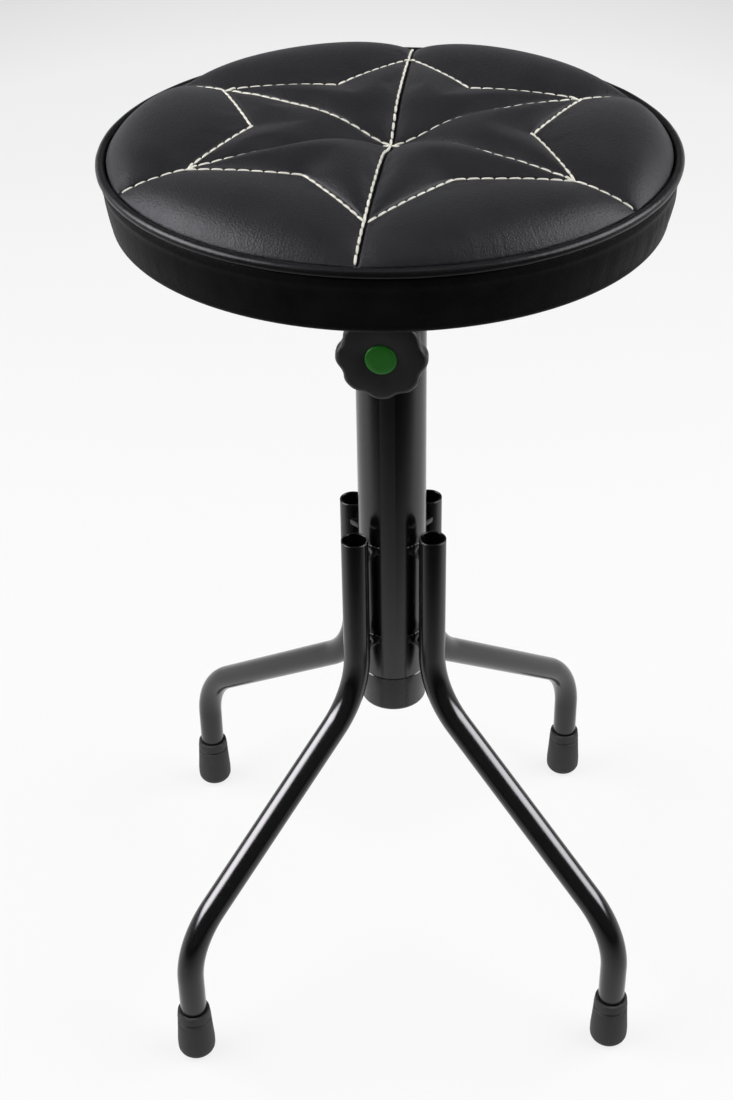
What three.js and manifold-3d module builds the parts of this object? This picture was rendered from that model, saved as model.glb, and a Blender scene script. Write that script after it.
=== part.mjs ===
// Height-adjustable swivel stool with a round quilted seat.
// A column on four bent tube legs guides a post, a hand screw clamps the post,
// and the padded seat turns on an axle in the post's head.
// Millimetres, +Z up, origin on the floor under the column's axis, front towards -Y.
import * as THREE from "three";
import { mergeVertices } from "three/addons/utils/BufferGeometryUtils.js";
import Module from "manifold-3d";

const wasm = await Module();
wasm.setup();

// Clearance between pieces that touch, and how far a cutter runs past its work.
const CLEARANCE = 0.3;
const OVERRUN = 2;

// Facets round each kind of form, and steps round a bend.
const SEAT_SIDES = 48;
const COLUMN_SIDES = 32;
const SHAFT_SIDES = 20;
const LEG_SIDES = 14;
const FOOT_SIDES = 16;
const SCREW_SIDES = 10;
const CORD_SIDES = 8;
const BEND_STEPS = 5;
const ROUND_STEPS = 2;
const SADDLE_STEPS = 3;

// Legs: one bent tube each, upright beside the column, sloping out, upright again in the foot.
const LEG_AZIMUTHS = { front_left: -45, front_right: 45, rear_left: -135, rear_right: 135 };
const LEG_DIAMETER = 20;
const LEG_WALL = 1.5;
const LEG_SLOPE = 35.7;
const LEG_BEND_RADIUS = 66;
const LEG_KNEE_HEIGHT = 111;
const LEG_SPREAD_RADIUS = 226.5;
const LEG_UPRIGHT_LENGTH = 139;
const LEG_TO_COLUMN_GAP = 5;

// Rubber feet pushed on the legs' lower ends.
const FOOT_HEIGHT = 45;
const FOOT_SOLE = 9;
const FOOT_WALL = 1.9;
const FOOT_BODY_DIAMETER = 28.7;
const FOOT_SHOULDER_DIAMETER = 26;
const FOOT_COLLAR_HEIGHT = 9;
const FOOT_COLLAR_FLARE = 0.8;
const FOOT_GROOVE_WIDTH = 2.4;
const FOOT_GROOVE_DEPTH = 0.8;
const FOOT_EDGE_RADIUS = 4;
const FOOT_BELLY_HEIGHT = 14;

// Column, the spacers that carry it between the legs, its lower cap and its guide bush.
const COLUMN_DIAMETER = 50;
const COLUMN_WALL = 2;
const COLUMN_LENGTH = 319;
const COLUMN_BELOW_LEG_TOPS = 131;
const COLUMN_EDGE_CHAMFER = 0.7;
const SPACER_WIDTH = 18;
const SPACER_THICKNESS = 4.5;
const SPACER_DROPS = { upper: 14, lower: 94.5 };
const CAP_SKIRT_HEIGHT = 31;
const CAP_SPIGOT_HEIGHT = 20;
const CAP_WALL = 2.2;
const CAP_FLOOR = 3;
const CAP_EDGE_RADIUS = 3;
const BUSH_LENGTH = 45;
const BUSH_FLANGE = 3;

// Post that slides in the column, with the glide on its lower end.
const POST_DIAMETER = 38;
const POST_WALL = 2;
const POST_EXPOSED = 44.7;
const POST_LOWER_TRAVEL = 25;
const GLIDE_HEIGHT = 30;
const GLIDE_FOOT = 4;
const GLIDE_SPIGOT_WALL = 3;

// Hand screw that clamps the post, pointing a little to the left of the front.
const CLAMP_AZIMUTH = -9.2;
const CLAMP_DROP = 29;
const CLAMP_BOSS_DIAMETER = 20;
const CLAMP_BOSS_LENGTH = 10;
const STUD_DIAMETER = 10;
const STUD_TIP_CHAMFER = 1.2;
const STUD_HOLD = 11.5;
const PAD_LENGTH = 3.5;
const KNOB_DIAMETER = 62;
const KNOB_LOBES = 8;
const KNOB_LOBE_DEPTH = 2.6;
const KNOB_LOBE_STEPS = 6;
const KNOB_STANDOFF = 1.5;
const KNOB_HUB_DIAMETER = 28;
const KNOB_HUB_LENGTH = 4;
const KNOB_THICKNESS = 12;
const KNOB_EDGE_RADIUS = 3.5;
const KNOB_CAP_DIAMETER = 21.6;
const KNOB_CAP_SEAT = 2;
const KNOB_CAP_DOME = 1.8;
const KNOB_CAP_DOME_DEGREES = [0, 36, 60];

// Swivel in the post's head: housing, two bushes, thrust washer, axle, washer and lock nut.
const HOUSING_FLANGE_DIAMETER = 42;
const HOUSING_FLANGE = 4;
const HOUSING_DEPTH = 40;
const AXLE_DIAMETER = 16;
const AXLE_THREAD_DIAMETER = 12;
const AXLE_THREAD_LENGTH = 17.5;
const AXLE_HEAD_DIAMETER = 24;
const AXLE_HEAD = 3;
const SWIVEL_BUSH_WALL = 2;
const SWIVEL_BUSH_LENGTH = 14;
const SWIVEL_BUSH_FLANGE = 1.5;
const SWIVEL_BUSH_FLANGE_WIDTH = 4;
const THRUST_WASHER = 2;
const AXLE_WASHER = 2.5;
const AXLE_WASHER_DIAMETER = 25;
const LOCK_NUT_WIDTH = 19;
const LOCK_NUT_SIDES = 6;
const LOCK_NUT_HEIGHT = 12;

// Steel plate under the seat, with four screws and tee nuts.
const PLATE_SIDE = 140;
const PLATE_THICKNESS = 3;
const PLATE_CORNER_RADIUS = 18;
const PLATE_SCREW_SPACING = 100;
const SCREW_DIAMETER = 6;
const SCREW_LENGTH = 16;
const SCREW_HEAD_DIAMETER = 11;
const SCREW_HEAD = 3.2;
const TEE_NUT_WALL = 1.1;
const TEE_NUT_BARREL = 8;
const TEE_NUT_FLANGE_DIAMETER = 20;
const TEE_NUT_FLANGE = 1.4;

// Seat: board, foam, quilted top panel, side band, piping and the cloth underneath.
const SEAT_DIAMETER = 380;
const BOARD_THICKNESS = 15;
const BAND_HEIGHT = 40.9;
const BAND_INSET = 3.5;
const BAND_TAPER = 3.5;
const BAND_BULGE = 0.8;
const BAND_THICKNESS = 1.6;
const BAND_EDGE_RADIUS = 5;
const BAND_HEM_WIDTH = 33;
const PIPING_DIAMETER = 6.4;
const CLOTH_THICKNESS = 0.8;
const CLOTH_STEP = 10;
const CLOTH_LAP = 15;

// Quilting: a six-pointed star of seams, with a pulled-down centre and seams on to the rim.
const STAR_POINTS = 6;
const STAR_AZIMUTH = -7.8;
const STAR_TIP_RADIUS = 140;
const STAR_VALLEY_RADIUS = 91;
const SEAM_RISE_AT_RIM = 2;
const SEAM_RISE = 13.5;
const SEAM_CENTRE_DIP = 11.5;
const SEAM_DIP_RADIUS = 34;
const SEAM_THICKNESS = 3;
const FACET_PUFF = 5.5;
const FIELD_PUFF = 8;
const PUFF_REACH = 11;
const RIM_PUFF_REACH = 13;

// Rings of the quilted surfaces, as shares of the star and of the field round it.
// Spokes, as shares of half a point.
const STAR_RING_SHARES = [0.16, 0.42, 0.68, 0.88, 1];
const FIELD_RING_SHARES = [0.1, 0.28, 0.5, 0.72, 0.9, 1];
const BACK_STAR_RING_SHARES = [0.4, 1];
const BACK_FIELD_RING_SHARES = [0.5, 1];
const SPOKE_SHARES = [0, 0.13, 0.4, 0.7, 1, 1.3, 1.6, 1.87];

// Heights and radii that follow from the sizes above.
const columnRadius = COLUMN_DIAMETER / 2;
const columnBore = columnRadius - COLUMN_WALL;
const legRadius = LEG_DIAMETER / 2;
const legTopRadius = columnRadius + LEG_TO_COLUMN_GAP + legRadius;
const legFall = (LEG_SPREAD_RADIUS - legTopRadius) * Math.tan(THREE.MathUtils.degToRad(LEG_SLOPE));
const legElbowHeight = LEG_KNEE_HEIGHT + legFall;
const legTopHeight = legElbowHeight + LEG_UPRIGHT_LENGTH;
const columnBottom = legTopHeight - COLUMN_BELOW_LEG_TOPS;
const columnTop = columnBottom + COLUMN_LENGTH;
const clampHeight = columnTop - CLAMP_DROP;
const postRadius = POST_DIAMETER / 2;
const postBore = postRadius - POST_WALL;
const postTop = columnTop + CLEARANCE + BUSH_FLANGE + POST_EXPOSED;
const spigotTop = columnBottom + CAP_SPIGOT_HEIGHT;
const postBottom = spigotTop + CLEARANCE + POST_LOWER_TRAVEL + GLIDE_FOOT + CLEARANCE;
const housingTop = postTop + CLEARANCE + HOUSING_FLANGE;
const housingBottom = postTop - HOUSING_DEPTH;
const washerTop = housingTop + CLEARANCE + THRUST_WASHER;
const plateBottom = washerTop + CLEARANCE;
const plateTop = plateBottom + PLATE_THICKNESS;
const clothBottom = plateTop + CLEARANCE;
const boardBottom = clothBottom + CLOTH_THICKNESS + CLEARANCE;
const boardTop = boardBottom + BOARD_THICKNESS;
const hemBottom = boardBottom - CLEARANCE - BAND_THICKNESS;
const pipingRadius = PIPING_DIAMETER / 2;
const pipingHeight = hemBottom + BAND_HEIGHT;
const pipingCentreRadius = SEAT_DIAMETER / 2 - pipingRadius;
const bandTop = pipingHeight - pipingRadius - CLEARANCE;
const bandTopRadius = SEAT_DIAMETER / 2 - BAND_INSET;
const bandBottomRadius = bandTopRadius - BAND_TAPER;
const boardRadius = bandBottomRadius - BAND_THICKNESS - CLEARANCE;
const facetShare = Math.cos(Math.PI / SEAT_SIDES);
const panelRadius = (pipingCentreRadius - pipingRadius) * facetShare - CLEARANCE;
const foamRadius = (bandBottomRadius - BAND_THICKNESS) * facetShare - CLEARANCE;
const screwPlaces = [[1, 1], [-1, 1], [-1, -1], [1, -1]];

// Finishes.
const finishes = {
  blackPaint: { color: 0x17181a, roughness: 0.38, metalness: 0.1 },
  blackPlastic: { color: 0x161718, roughness: 0.55, metalness: 0 },
  greenPlastic: { color: 0x1b5814, roughness: 0.45, metalness: 0 },
  blackRubber: { color: 0x1c1d1f, roughness: 0.8, metalness: 0 },
  blackLeatherette: { color: 0x0e0f12, roughness: 0.5, metalness: 0 },
  blackCloth: { color: 0x151515, roughness: 0.95, metalness: 0 },
  zincSteel: { color: 0xa7abb0, roughness: 0.35, metalness: 0.9 },
  brass: { color: 0xb08d4a, roughness: 0.4, metalness: 0.9 },
  acetal: { color: 0xe6e4dc, roughness: 0.5, metalness: 0 },
  plywood: { color: 0xc59d6b, roughness: 0.75, metalness: 0 },
  foam: { color: 0xd9cfa8, roughness: 0.95, metalness: 0 },
};

function mesh(name, geometry, finish) {
  const piece = new THREE.Mesh(geometry, new THREE.MeshStandardMaterial(finishes[finish]));
  piece.name = name;
  return piece;
}

// A closed solid turned round Z from an outline of [radius, height] points.
function turned(outline, sides) {
  const points = outline.map(([radius, height]) => new THREE.Vector2(radius, height));
  if (THREE.ShapeUtils.area(points) < 0) points.reverse();
  points.push(points[0].clone());
  return new THREE.LatheGeometry(points, sides).rotateX(Math.PI / 2);
}

// A flat-ended ring or disc between two heights, with an optional bore.
function ring(outer, inner, low, high, sides) {
  return turned([[inner, low], [outer, low], [outer, high], [inner, high]], sides);
}

function plug(radius, low, high, sides) {
  return turned([[0, low], [radius, low], [radius, high], [0, high]], sides);
}

// Points of a quarter round from one angle to another, in degrees.
function rounded(centreRadius, centreHeight, radius, from, to) {
  const points = [];
  for (let step = 0; step <= ROUND_STEPS; step += 1) {
    const angle = THREE.MathUtils.degToRad(from + ((to - from) * step) / ROUND_STEPS);
    points.push([centreRadius + radius * Math.cos(angle), centreHeight + radius * Math.sin(angle)]);
  }
  return points;
}

function solidOf(geometry) {
  const bare = geometry.clone();
  bare.deleteAttribute("normal");
  bare.deleteAttribute("uv");
  const merged = mergeVertices(bare);
  const corners = merged.index.array;
  const triVerts = [];
  for (let i = 0; i < corners.length; i += 3) {
    const [a, b, c] = [corners[i], corners[i + 1], corners[i + 2]];
    if (a !== b && b !== c && c !== a) triVerts.push(a, b, c);
  }
  const vertProperties = new Float32Array(merged.attributes.position.array);
  const indexed = new wasm.Mesh({ numProp: 3, vertProperties, triVerts: new Uint32Array(triVerts) });
  return new wasm.Manifold(indexed);
}

function geometryOf(solid) {
  const result = solid.getMesh();
  const geometry = new THREE.BufferGeometry();
  geometry.setAttribute("position", new THREE.BufferAttribute(result.vertProperties, 3));
  geometry.setIndex(new THREE.BufferAttribute(result.triVerts, 1));
  return geometry;
}

function cut(geometry, cutters) {
  const solid = cutters.reduce((body, cutter) => body.subtract(solidOf(cutter)), solidOf(geometry));
  return geometryOf(solid);
}

// The two triangles between neighbouring points of two rows, split along the shorter diagonal.
function quad(points, a, b, c, d) {
  const span = (i, j) => Math.hypot(...points[i].map((value, axis) => value - points[j][axis]));
  return span(a, d) <= span(b, c) ? [a, b, d, a, d, c] : [a, b, c, b, d, c];
}

// A closed skin over rows of points that run round Z; the first and last rows are single points.
function skin(rows) {
  const points = rows.flat();
  const index = [];
  let start = 0;
  rows.slice(0, -1).forEach((row, r) => {
    const [here, there] = [row.length, rows[r + 1].length];
    const nextStart = start + here;
    for (let i = 0; i < Math.max(here, there); i += 1) {
      const [a, b] = [start + (i % here), start + ((i + 1) % here)];
      const [c, d] = [nextStart + (i % there), nextStart + ((i + 1) % there)];
      if (here === 1) index.push(a, d, c);
      else if (there === 1) index.push(a, b, c);
      else index.push(...quad(points, a, b, c, d));
    }
    start = nextStart;
  });
  const geometry = new THREE.BufferGeometry();
  geometry.setAttribute("position", new THREE.Float32BufferAttribute(points.flat(), 3));
  geometry.setIndex(index);
  return geometry;
}

// The centre line of a bent tube: straight runs between corners, with an arc of one radius at each corner.
class BentRoute extends THREE.Curve {
  constructor(corners, bendRadius) {
    super();
    this.stations = [];
    const last = corners.length - 1;
    corners.forEach((corner, i) => {
      const into = corner.clone().sub(corners[Math.max(i - 1, 0)]).normalize();
      const out = corners[Math.min(i + 1, last)].clone().sub(corner).normalize();
      if (i === 0 || i === last) this.stations.push({ point: corner, tangent: i === 0 ? out : into });
      else this.addBend(corner, into, out, bendRadius);
    });
  }

  addBend(corner, into, out, radius) {
    const turn = into.angleTo(out);
    const tangentLength = radius * Math.tan(turn / 2);
    const start = corner.clone().addScaledVector(into, -tangentLength);
    const inward = out.clone().addScaledVector(into, -into.dot(out)).normalize();
    for (let step = 0; step <= BEND_STEPS; step += 1) {
      const angle = (turn * step) / BEND_STEPS;
      const point = start.clone().addScaledVector(into, radius * Math.sin(angle));
      point.addScaledVector(inward, radius * (1 - Math.cos(angle)));
      const tangent = into.clone().multiplyScalar(Math.cos(angle)).addScaledVector(inward, Math.sin(angle));
      this.stations.push({ point, tangent });
    }
  }

  get steps() {
    return this.stations.length - 1;
  }

  station(share) {
    return this.stations[Math.round(share * this.steps)];
  }

  getPointAt(share, target = new THREE.Vector3()) {
    return target.copy(this.station(share).point);
  }

  getTangentAt(share, target = new THREE.Vector3()) {
    return target.copy(this.station(share).tangent);
  }
}

function circlePoints(radius, sides) {
  return Array.from({ length: sides }, (_, i) => {
    const angle = (2 * Math.PI * i) / sides;
    return new THREE.Vector2(radius * Math.cos(angle), radius * Math.sin(angle));
  });
}

function leg(name, azimuth) {
  const bottom = FOOT_SOLE + CLEARANCE;
  const corners = [
    [LEG_SPREAD_RADIUS, bottom],
    [LEG_SPREAD_RADIUS, LEG_KNEE_HEIGHT],
    [legTopRadius, legElbowHeight],
    [legTopRadius, legTopHeight],
  ].map(([radius, height]) => new THREE.Vector3(0, -radius, height));
  const route = new BentRoute(corners, LEG_BEND_RADIUS);
  const section = new THREE.Shape(circlePoints(legRadius, LEG_SIDES));
  section.holes.push(new THREE.Path(circlePoints(legRadius - LEG_WALL, LEG_SIDES)));
  const geometry = new THREE.ExtrudeGeometry(section, { steps: route.steps, extrudePath: route });
  const piece = mesh(`leg_${name}`, geometry, "blackPaint");
  piece.rotation.z = THREE.MathUtils.degToRad(azimuth);
  return piece;
}

// A ferrule: a sole, a tapering body with a belly, a groove and a flared collar round the tube.
function foot(name, azimuth) {
  const shoulder = FOOT_SHOULDER_DIAMETER / 2;
  const belly = FOOT_BODY_DIAMETER / 2;
  const bore = legRadius + CLEARANCE;
  const collarTop = bore + FOOT_WALL;
  const collarBottom = FOOT_HEIGHT - FOOT_COLLAR_HEIGHT;
  const grooveBottom = collarBottom - FOOT_GROOVE_WIDTH;
  const outline = [
    [0, 0],
    ...rounded(belly - FOOT_EDGE_RADIUS, FOOT_EDGE_RADIUS, FOOT_EDGE_RADIUS, -90, 0),
    [belly, FOOT_BELLY_HEIGHT],
    [shoulder, grooveBottom],
    [shoulder - FOOT_GROOVE_DEPTH, grooveBottom + FOOT_GROOVE_WIDTH / 2],
    [collarTop + FOOT_COLLAR_FLARE, collarBottom],
    [collarTop, FOOT_HEIGHT],
    [bore, FOOT_HEIGHT],
    [bore, FOOT_SOLE],
    [0, FOOT_SOLE],
  ];
  const piece = mesh(`foot_${name}`, turned(outline, FOOT_SIDES), "blackRubber");
  const angle = THREE.MathUtils.degToRad(azimuth);
  piece.position.set(LEG_SPREAD_RADIUS * Math.sin(angle), -LEG_SPREAD_RADIUS * Math.cos(angle), 0);
  return piece;
}

// A flat plate hollowed at both ends to seat between the column and a leg.
function spacer(level, name, azimuth) {
  const half = SPACER_WIDTH / 2;
  const columnSeat = columnRadius + CLEARANCE;
  const legSeat = legRadius + CLEARANCE;
  const columnHalfAngle = Math.asin(half / columnSeat);
  const legHalfAngle = Math.asin(half / legSeat);
  const shape = new THREE.Shape();
  shape.absarc(0, 0, columnSeat, -Math.PI / 2 - columnHalfAngle, -Math.PI / 2 + columnHalfAngle, false);
  shape.absarc(0, -legTopRadius, legSeat, Math.PI / 2 - legHalfAngle, Math.PI / 2 + legHalfAngle, false);
  const geometry = new THREE.ExtrudeGeometry(shape, {
    depth: SPACER_THICKNESS,
    bevelEnabled: false,
    curveSegments: SADDLE_STEPS,
  });
  const piece = mesh(`spacer_${level}_${name}`, geometry, "blackPaint");
  piece.position.z = legTopHeight - SPACER_DROPS[level] - SPACER_THICKNESS / 2;
  piece.rotation.z = THREE.MathUtils.degToRad(azimuth);
  return piece;
}

// Turns a piece made along Z at the origin into one that points outwards along the clamp's axis.
function alongClamp(geometry) {
  return geometry
    .rotateX(Math.PI / 2)
    .rotateZ(THREE.MathUtils.degToRad(CLAMP_AZIMUTH))
    .translate(0, 0, clampHeight);
}

function clampCutter(radius, low, high) {
  return alongClamp(plug(radius, low, high, SHAFT_SIDES));
}

const clampBore = STUD_DIAMETER / 2 + CLEARANCE;
const bossEnd = columnRadius + CLAMP_BOSS_LENGTH;
const padInner = postRadius + CLEARANCE;
const padOuter = padInner + PAD_LENGTH;
const knobBack = bossEnd + KNOB_STANDOFF;
const knobFace = knobBack + KNOB_HUB_LENGTH + KNOB_THICKNESS;

function columnTube() {
  const outline = [
    [columnBore, columnBottom],
    [columnRadius - COLUMN_EDGE_CHAMFER, columnBottom],
    [columnRadius, columnBottom + COLUMN_EDGE_CHAMFER],
    [columnRadius, columnTop],
    [columnBore, columnTop],
  ];
  const hole = clampCutter(clampBore, postRadius, columnRadius + OVERRUN);
  return mesh("column_tube", cut(turned(outline, COLUMN_SIDES), [hole]), "blackPaint");
}

// Guide bush pressed in the column's mouth, with a rim on top and a side hole for the clamp pad.
function columnBush() {
  const outer = columnBore - CLEARANCE;
  const inner = postRadius + CLEARANCE;
  const outline = [
    [inner, columnTop - BUSH_LENGTH],
    [outer, columnTop - BUSH_LENGTH],
    [outer, columnTop + CLEARANCE],
    [columnRadius, columnTop + CLEARANCE],
    [columnRadius, columnTop + CLEARANCE + BUSH_FLANGE - COLUMN_EDGE_CHAMFER],
    [columnRadius - COLUMN_EDGE_CHAMFER, columnTop + CLEARANCE + BUSH_FLANGE],
    [inner, columnTop + CLEARANCE + BUSH_FLANGE],
  ];
  const hole = clampCutter(clampBore, postBore, columnRadius + OVERRUN);
  return mesh("column_bush", cut(turned(outline, COLUMN_SIDES), [hole]), "blackPlastic");
}

// Cup-shaped cap under the column, with a spigot that goes up inside the tube.
function columnEndCap() {
  const spigot = columnBore - CLEARANCE;
  const bottom = columnBottom - CAP_SKIRT_HEIGHT;
  const skirtTop = columnBottom - CLEARANCE;
  const outline = [
    [0, bottom],
    ...rounded(columnRadius - CAP_EDGE_RADIUS, bottom + CAP_EDGE_RADIUS, CAP_EDGE_RADIUS, -90, 0),
    [columnRadius, skirtTop - COLUMN_EDGE_CHAMFER],
    [columnRadius - COLUMN_EDGE_CHAMFER, skirtTop],
    [spigot, skirtTop],
    [spigot, spigotTop],
    [spigot - CAP_WALL, spigotTop],
    [spigot - CAP_WALL, bottom + CAP_FLOOR],
    [0, bottom + CAP_FLOOR],
  ];
  return mesh("column_end_cap", turned(outline, COLUMN_SIDES), "blackPlastic");
}

// Threaded boss on the column's side, hollowed to sit on its round wall.
function clampBoss() {
  const body = alongClamp(ring(CLAMP_BOSS_DIAMETER / 2, clampBore, postRadius, bossEnd, SHAFT_SIDES));
  const column = plug(columnRadius + CLEARANCE, columnBottom, columnTop, COLUMN_SIDES);
  return mesh("clamp_boss", cut(body, [column]), "blackPaint");
}

function clampPad() {
  const geometry = alongClamp(plug(STUD_DIAMETER / 2, padInner, padOuter, SHAFT_SIDES));
  return mesh("clamp_pad", geometry, "brass");
}

function clampStud() {
  const radius = STUD_DIAMETER / 2;
  const tip = padOuter + CLEARANCE;
  const end = knobBack + STUD_HOLD;
  const outline = [
    [0, tip],
    [radius - STUD_TIP_CHAMFER, tip],
    [radius, tip + STUD_TIP_CHAMFER],
    [radius, end],
    [0, end],
  ];
  return mesh("clamp_stud", alongClamp(turned(outline, SHAFT_SIDES)), "zincSteel");
}

// Radius of the lobed outline at an angle, as a share of the lobe depth taken off the full radius.
function lobeRadius(fullRadius, angle) {
  const hollowShare = (1 - Math.cos(KNOB_LOBES * angle)) / 2;
  return fullRadius - KNOB_LOBE_DEPTH * hollowShare;
}

// Lobed hand knob: a round hub behind, rounded lobes, and a pocket in the face for the cap.
function clampKnob() {
  const count = KNOB_LOBES * KNOB_LOBE_STEPS;
  const full = KNOB_DIAMETER / 2;
  const lobesBack = knobBack + KNOB_HUB_LENGTH;
  const row = (radiusAt, height) => Array.from({ length: count }, (_, i) => {
    const angle = (2 * Math.PI * i) / count;
    return [radiusAt(angle) * Math.cos(angle), radiusAt(angle) * Math.sin(angle), height];
  });
  const round = (radius, height) => row(() => radius, height);
  const lobed = ([inset, height]) => row((angle) => lobeRadius(full, angle) - inset, height);
  const edge = KNOB_EDGE_RADIUS;
  const backEdge = rounded(edge, lobesBack + edge, edge, -90, -180);
  const faceEdge = rounded(edge, knobFace - edge, edge, 180, 90);
  const pocket = KNOB_CAP_DIAMETER / 2 + CLEARANCE;
  const bore = STUD_DIAMETER / 2 + CLEARANCE;
  const boreEnd = knobBack + STUD_HOLD + CLEARANCE;
  const rows = [
    [[0, 0, boreEnd]],
    round(bore, boreEnd),
    round(bore, knobBack),
    round(KNOB_HUB_DIAMETER / 2, knobBack),
    round(KNOB_HUB_DIAMETER / 2, lobesBack),
    ...backEdge.map(lobed),
    ...faceEdge.map(lobed),
    round(pocket, knobFace),
    round(pocket, knobFace - KNOB_CAP_SEAT),
    [[0, 0, knobFace - KNOB_CAP_SEAT]],
  ];
  return mesh("clamp_knob", alongClamp(skin(rows)), "blackPlastic");
}

// Coloured cap pressed in the knob's face, with a low dome.
function knobCap() {
  const radius = KNOB_CAP_DIAMETER / 2;
  const bottom = knobFace - KNOB_CAP_SEAT + CLEARANCE;
  const dome = KNOB_CAP_DOME_DEGREES.map((degrees) => {
    const angle = THREE.MathUtils.degToRad(degrees);
    return [radius * Math.cos(angle), knobFace + KNOB_CAP_DOME * Math.sin(angle)];
  });
  const outline = [[0, bottom], [radius, bottom], ...dome, [0, knobFace + KNOB_CAP_DOME]];
  return mesh("knob_cap", alongClamp(turned(outline, SHAFT_SIDES)), "greenPlastic");
}

function postTube() {
  return mesh("post_tube", ring(postRadius, postBore, postBottom, postTop, COLUMN_SIDES), "zincSteel");
}

// Glide on the post's lower end: a foot and sleeve that run in the column, and a spigot inside the post.
function postGlide() {
  const sleeve = columnBore - CLEARANCE;
  const sleeveInner = postRadius + CLEARANCE;
  const spigot = postBore - CLEARANCE;
  const foot = postBottom - CLEARANCE;
  const outline = [
    [spigot - GLIDE_SPIGOT_WALL, foot - GLIDE_FOOT],
    [sleeve, foot - GLIDE_FOOT],
    [sleeve, postBottom + GLIDE_HEIGHT],
    [sleeveInner, postBottom + GLIDE_HEIGHT],
    [sleeveInner, foot],
    [spigot, foot],
    [spigot, postBottom + GLIDE_HEIGHT / 2],
    [spigot - GLIDE_SPIGOT_WALL, postBottom + GLIDE_HEIGHT / 2],
  ];
  return mesh("post_glide", turned(outline, COLUMN_SIDES), "acetal");
}

const axleRadius = AXLE_DIAMETER / 2;
const bushInner = axleRadius + CLEARANCE;
const bushOuter = bushInner + SWIVEL_BUSH_WALL;
const bushFlange = bushOuter + SWIVEL_BUSH_FLANGE_WIDTH;
const lowerFlangeBottom = housingBottom - CLEARANCE - SWIVEL_BUSH_FLANGE;
const axleWasherTop = lowerFlangeBottom - CLEARANCE;
const lockNutTop = axleWasherTop - AXLE_WASHER - CLEARANCE;

// Turned housing that plugs the post's head and holds the swivel bushes.
function swivelHousing() {
  const bore = bushOuter + CLEARANCE;
  const recess = bushFlange + CLEARANCE;
  const recessFloor = housingTop - SWIVEL_BUSH_FLANGE - CLEARANCE;
  const outline = [
    [bore, housingBottom],
    [postBore - CLEARANCE, housingBottom],
    [postBore - CLEARANCE, postTop + CLEARANCE],
    [HOUSING_FLANGE_DIAMETER / 2, postTop + CLEARANCE],
    [HOUSING_FLANGE_DIAMETER / 2, housingTop],
    [recess, housingTop],
    [recess, recessFloor],
    [bore, recessFloor],
  ];
  return mesh("swivel_housing", turned(outline, SHAFT_SIDES), "zincSteel");
}

// Flanged bush; its flange lies on the housing's top or bottom face.
function swivelBush(name, flangeLow, direction) {
  const flangeHigh = flangeLow + SWIVEL_BUSH_FLANGE;
  const [near, far] = direction > 0 ? [flangeLow, flangeHigh] : [flangeHigh, flangeLow];
  const end = near + direction * (SWIVEL_BUSH_FLANGE + SWIVEL_BUSH_LENGTH);
  const outline = [
    [bushInner, near],
    [bushFlange, near],
    [bushFlange, far],
    [bushOuter, far],
    [bushOuter, end],
    [bushInner, end],
  ];
  return mesh(name, turned(outline, SHAFT_SIDES), "brass");
}

function thrustWasher() {
  const outer = HOUSING_FLANGE_DIAMETER / 2;
  const geometry = ring(outer, bushInner, housingTop + CLEARANCE, washerTop, SHAFT_SIDES);
  return mesh("thrust_washer", geometry, "acetal");
}

// Headed axle through the plate, with a thinner threaded end for the lock nut.
function swivelAxle() {
  const thread = AXLE_THREAD_DIAMETER / 2;
  const shoulder = lowerFlangeBottom;
  const headBottom = plateTop + CLEARANCE;
  const outline = [
    [0, shoulder - AXLE_THREAD_LENGTH],
    [thread, shoulder - AXLE_THREAD_LENGTH],
    [thread, shoulder],
    [axleRadius, shoulder],
    [axleRadius, headBottom],
    [AXLE_HEAD_DIAMETER / 2, headBottom],
    [AXLE_HEAD_DIAMETER / 2, headBottom + AXLE_HEAD],
    [0, headBottom + AXLE_HEAD],
  ];
  return mesh("swivel_axle", turned(outline, SHAFT_SIDES), "zincSteel");
}

function axleWasher() {
  const outer = AXLE_WASHER_DIAMETER / 2;
  const inner = AXLE_THREAD_DIAMETER / 2 + CLEARANCE;
  const geometry = ring(outer, inner, axleWasherTop - AXLE_WASHER, axleWasherTop, SHAFT_SIDES);
  return mesh("axle_washer", geometry, "zincSteel");
}

function axleLockNut() {
  const corner = LOCK_NUT_WIDTH / 2 / Math.cos(Math.PI / LOCK_NUT_SIDES);
  const shape = new THREE.Shape(circlePoints(corner, LOCK_NUT_SIDES));
  shape.holes.push(new THREE.Path(circlePoints(AXLE_THREAD_DIAMETER / 2 + CLEARANCE, SHAFT_SIDES)));
  const geometry = new THREE.ExtrudeGeometry(shape, { depth: LOCK_NUT_HEIGHT, bevelEnabled: false });
  const piece = mesh("axle_lock_nut", geometry, "zincSteel");
  piece.position.z = lockNutTop - LOCK_NUT_HEIGHT;
  return piece;
}

const screwRadius = SCREW_DIAMETER / 2;
const screwHole = screwRadius + CLEARANCE;
const barrelRadius = screwHole + TEE_NUT_WALL;
const screwTop = plateBottom - CLEARANCE;

function placed(geometry, [x, y]) {
  return geometry.translate((x * PLATE_SCREW_SPACING) / 2, (y * PLATE_SCREW_SPACING) / 2, 0);
}

function holesThrough(radius, low, high) {
  return screwPlaces.map((place) => placed(plug(radius, low, high, SCREW_SIDES), place));
}

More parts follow.
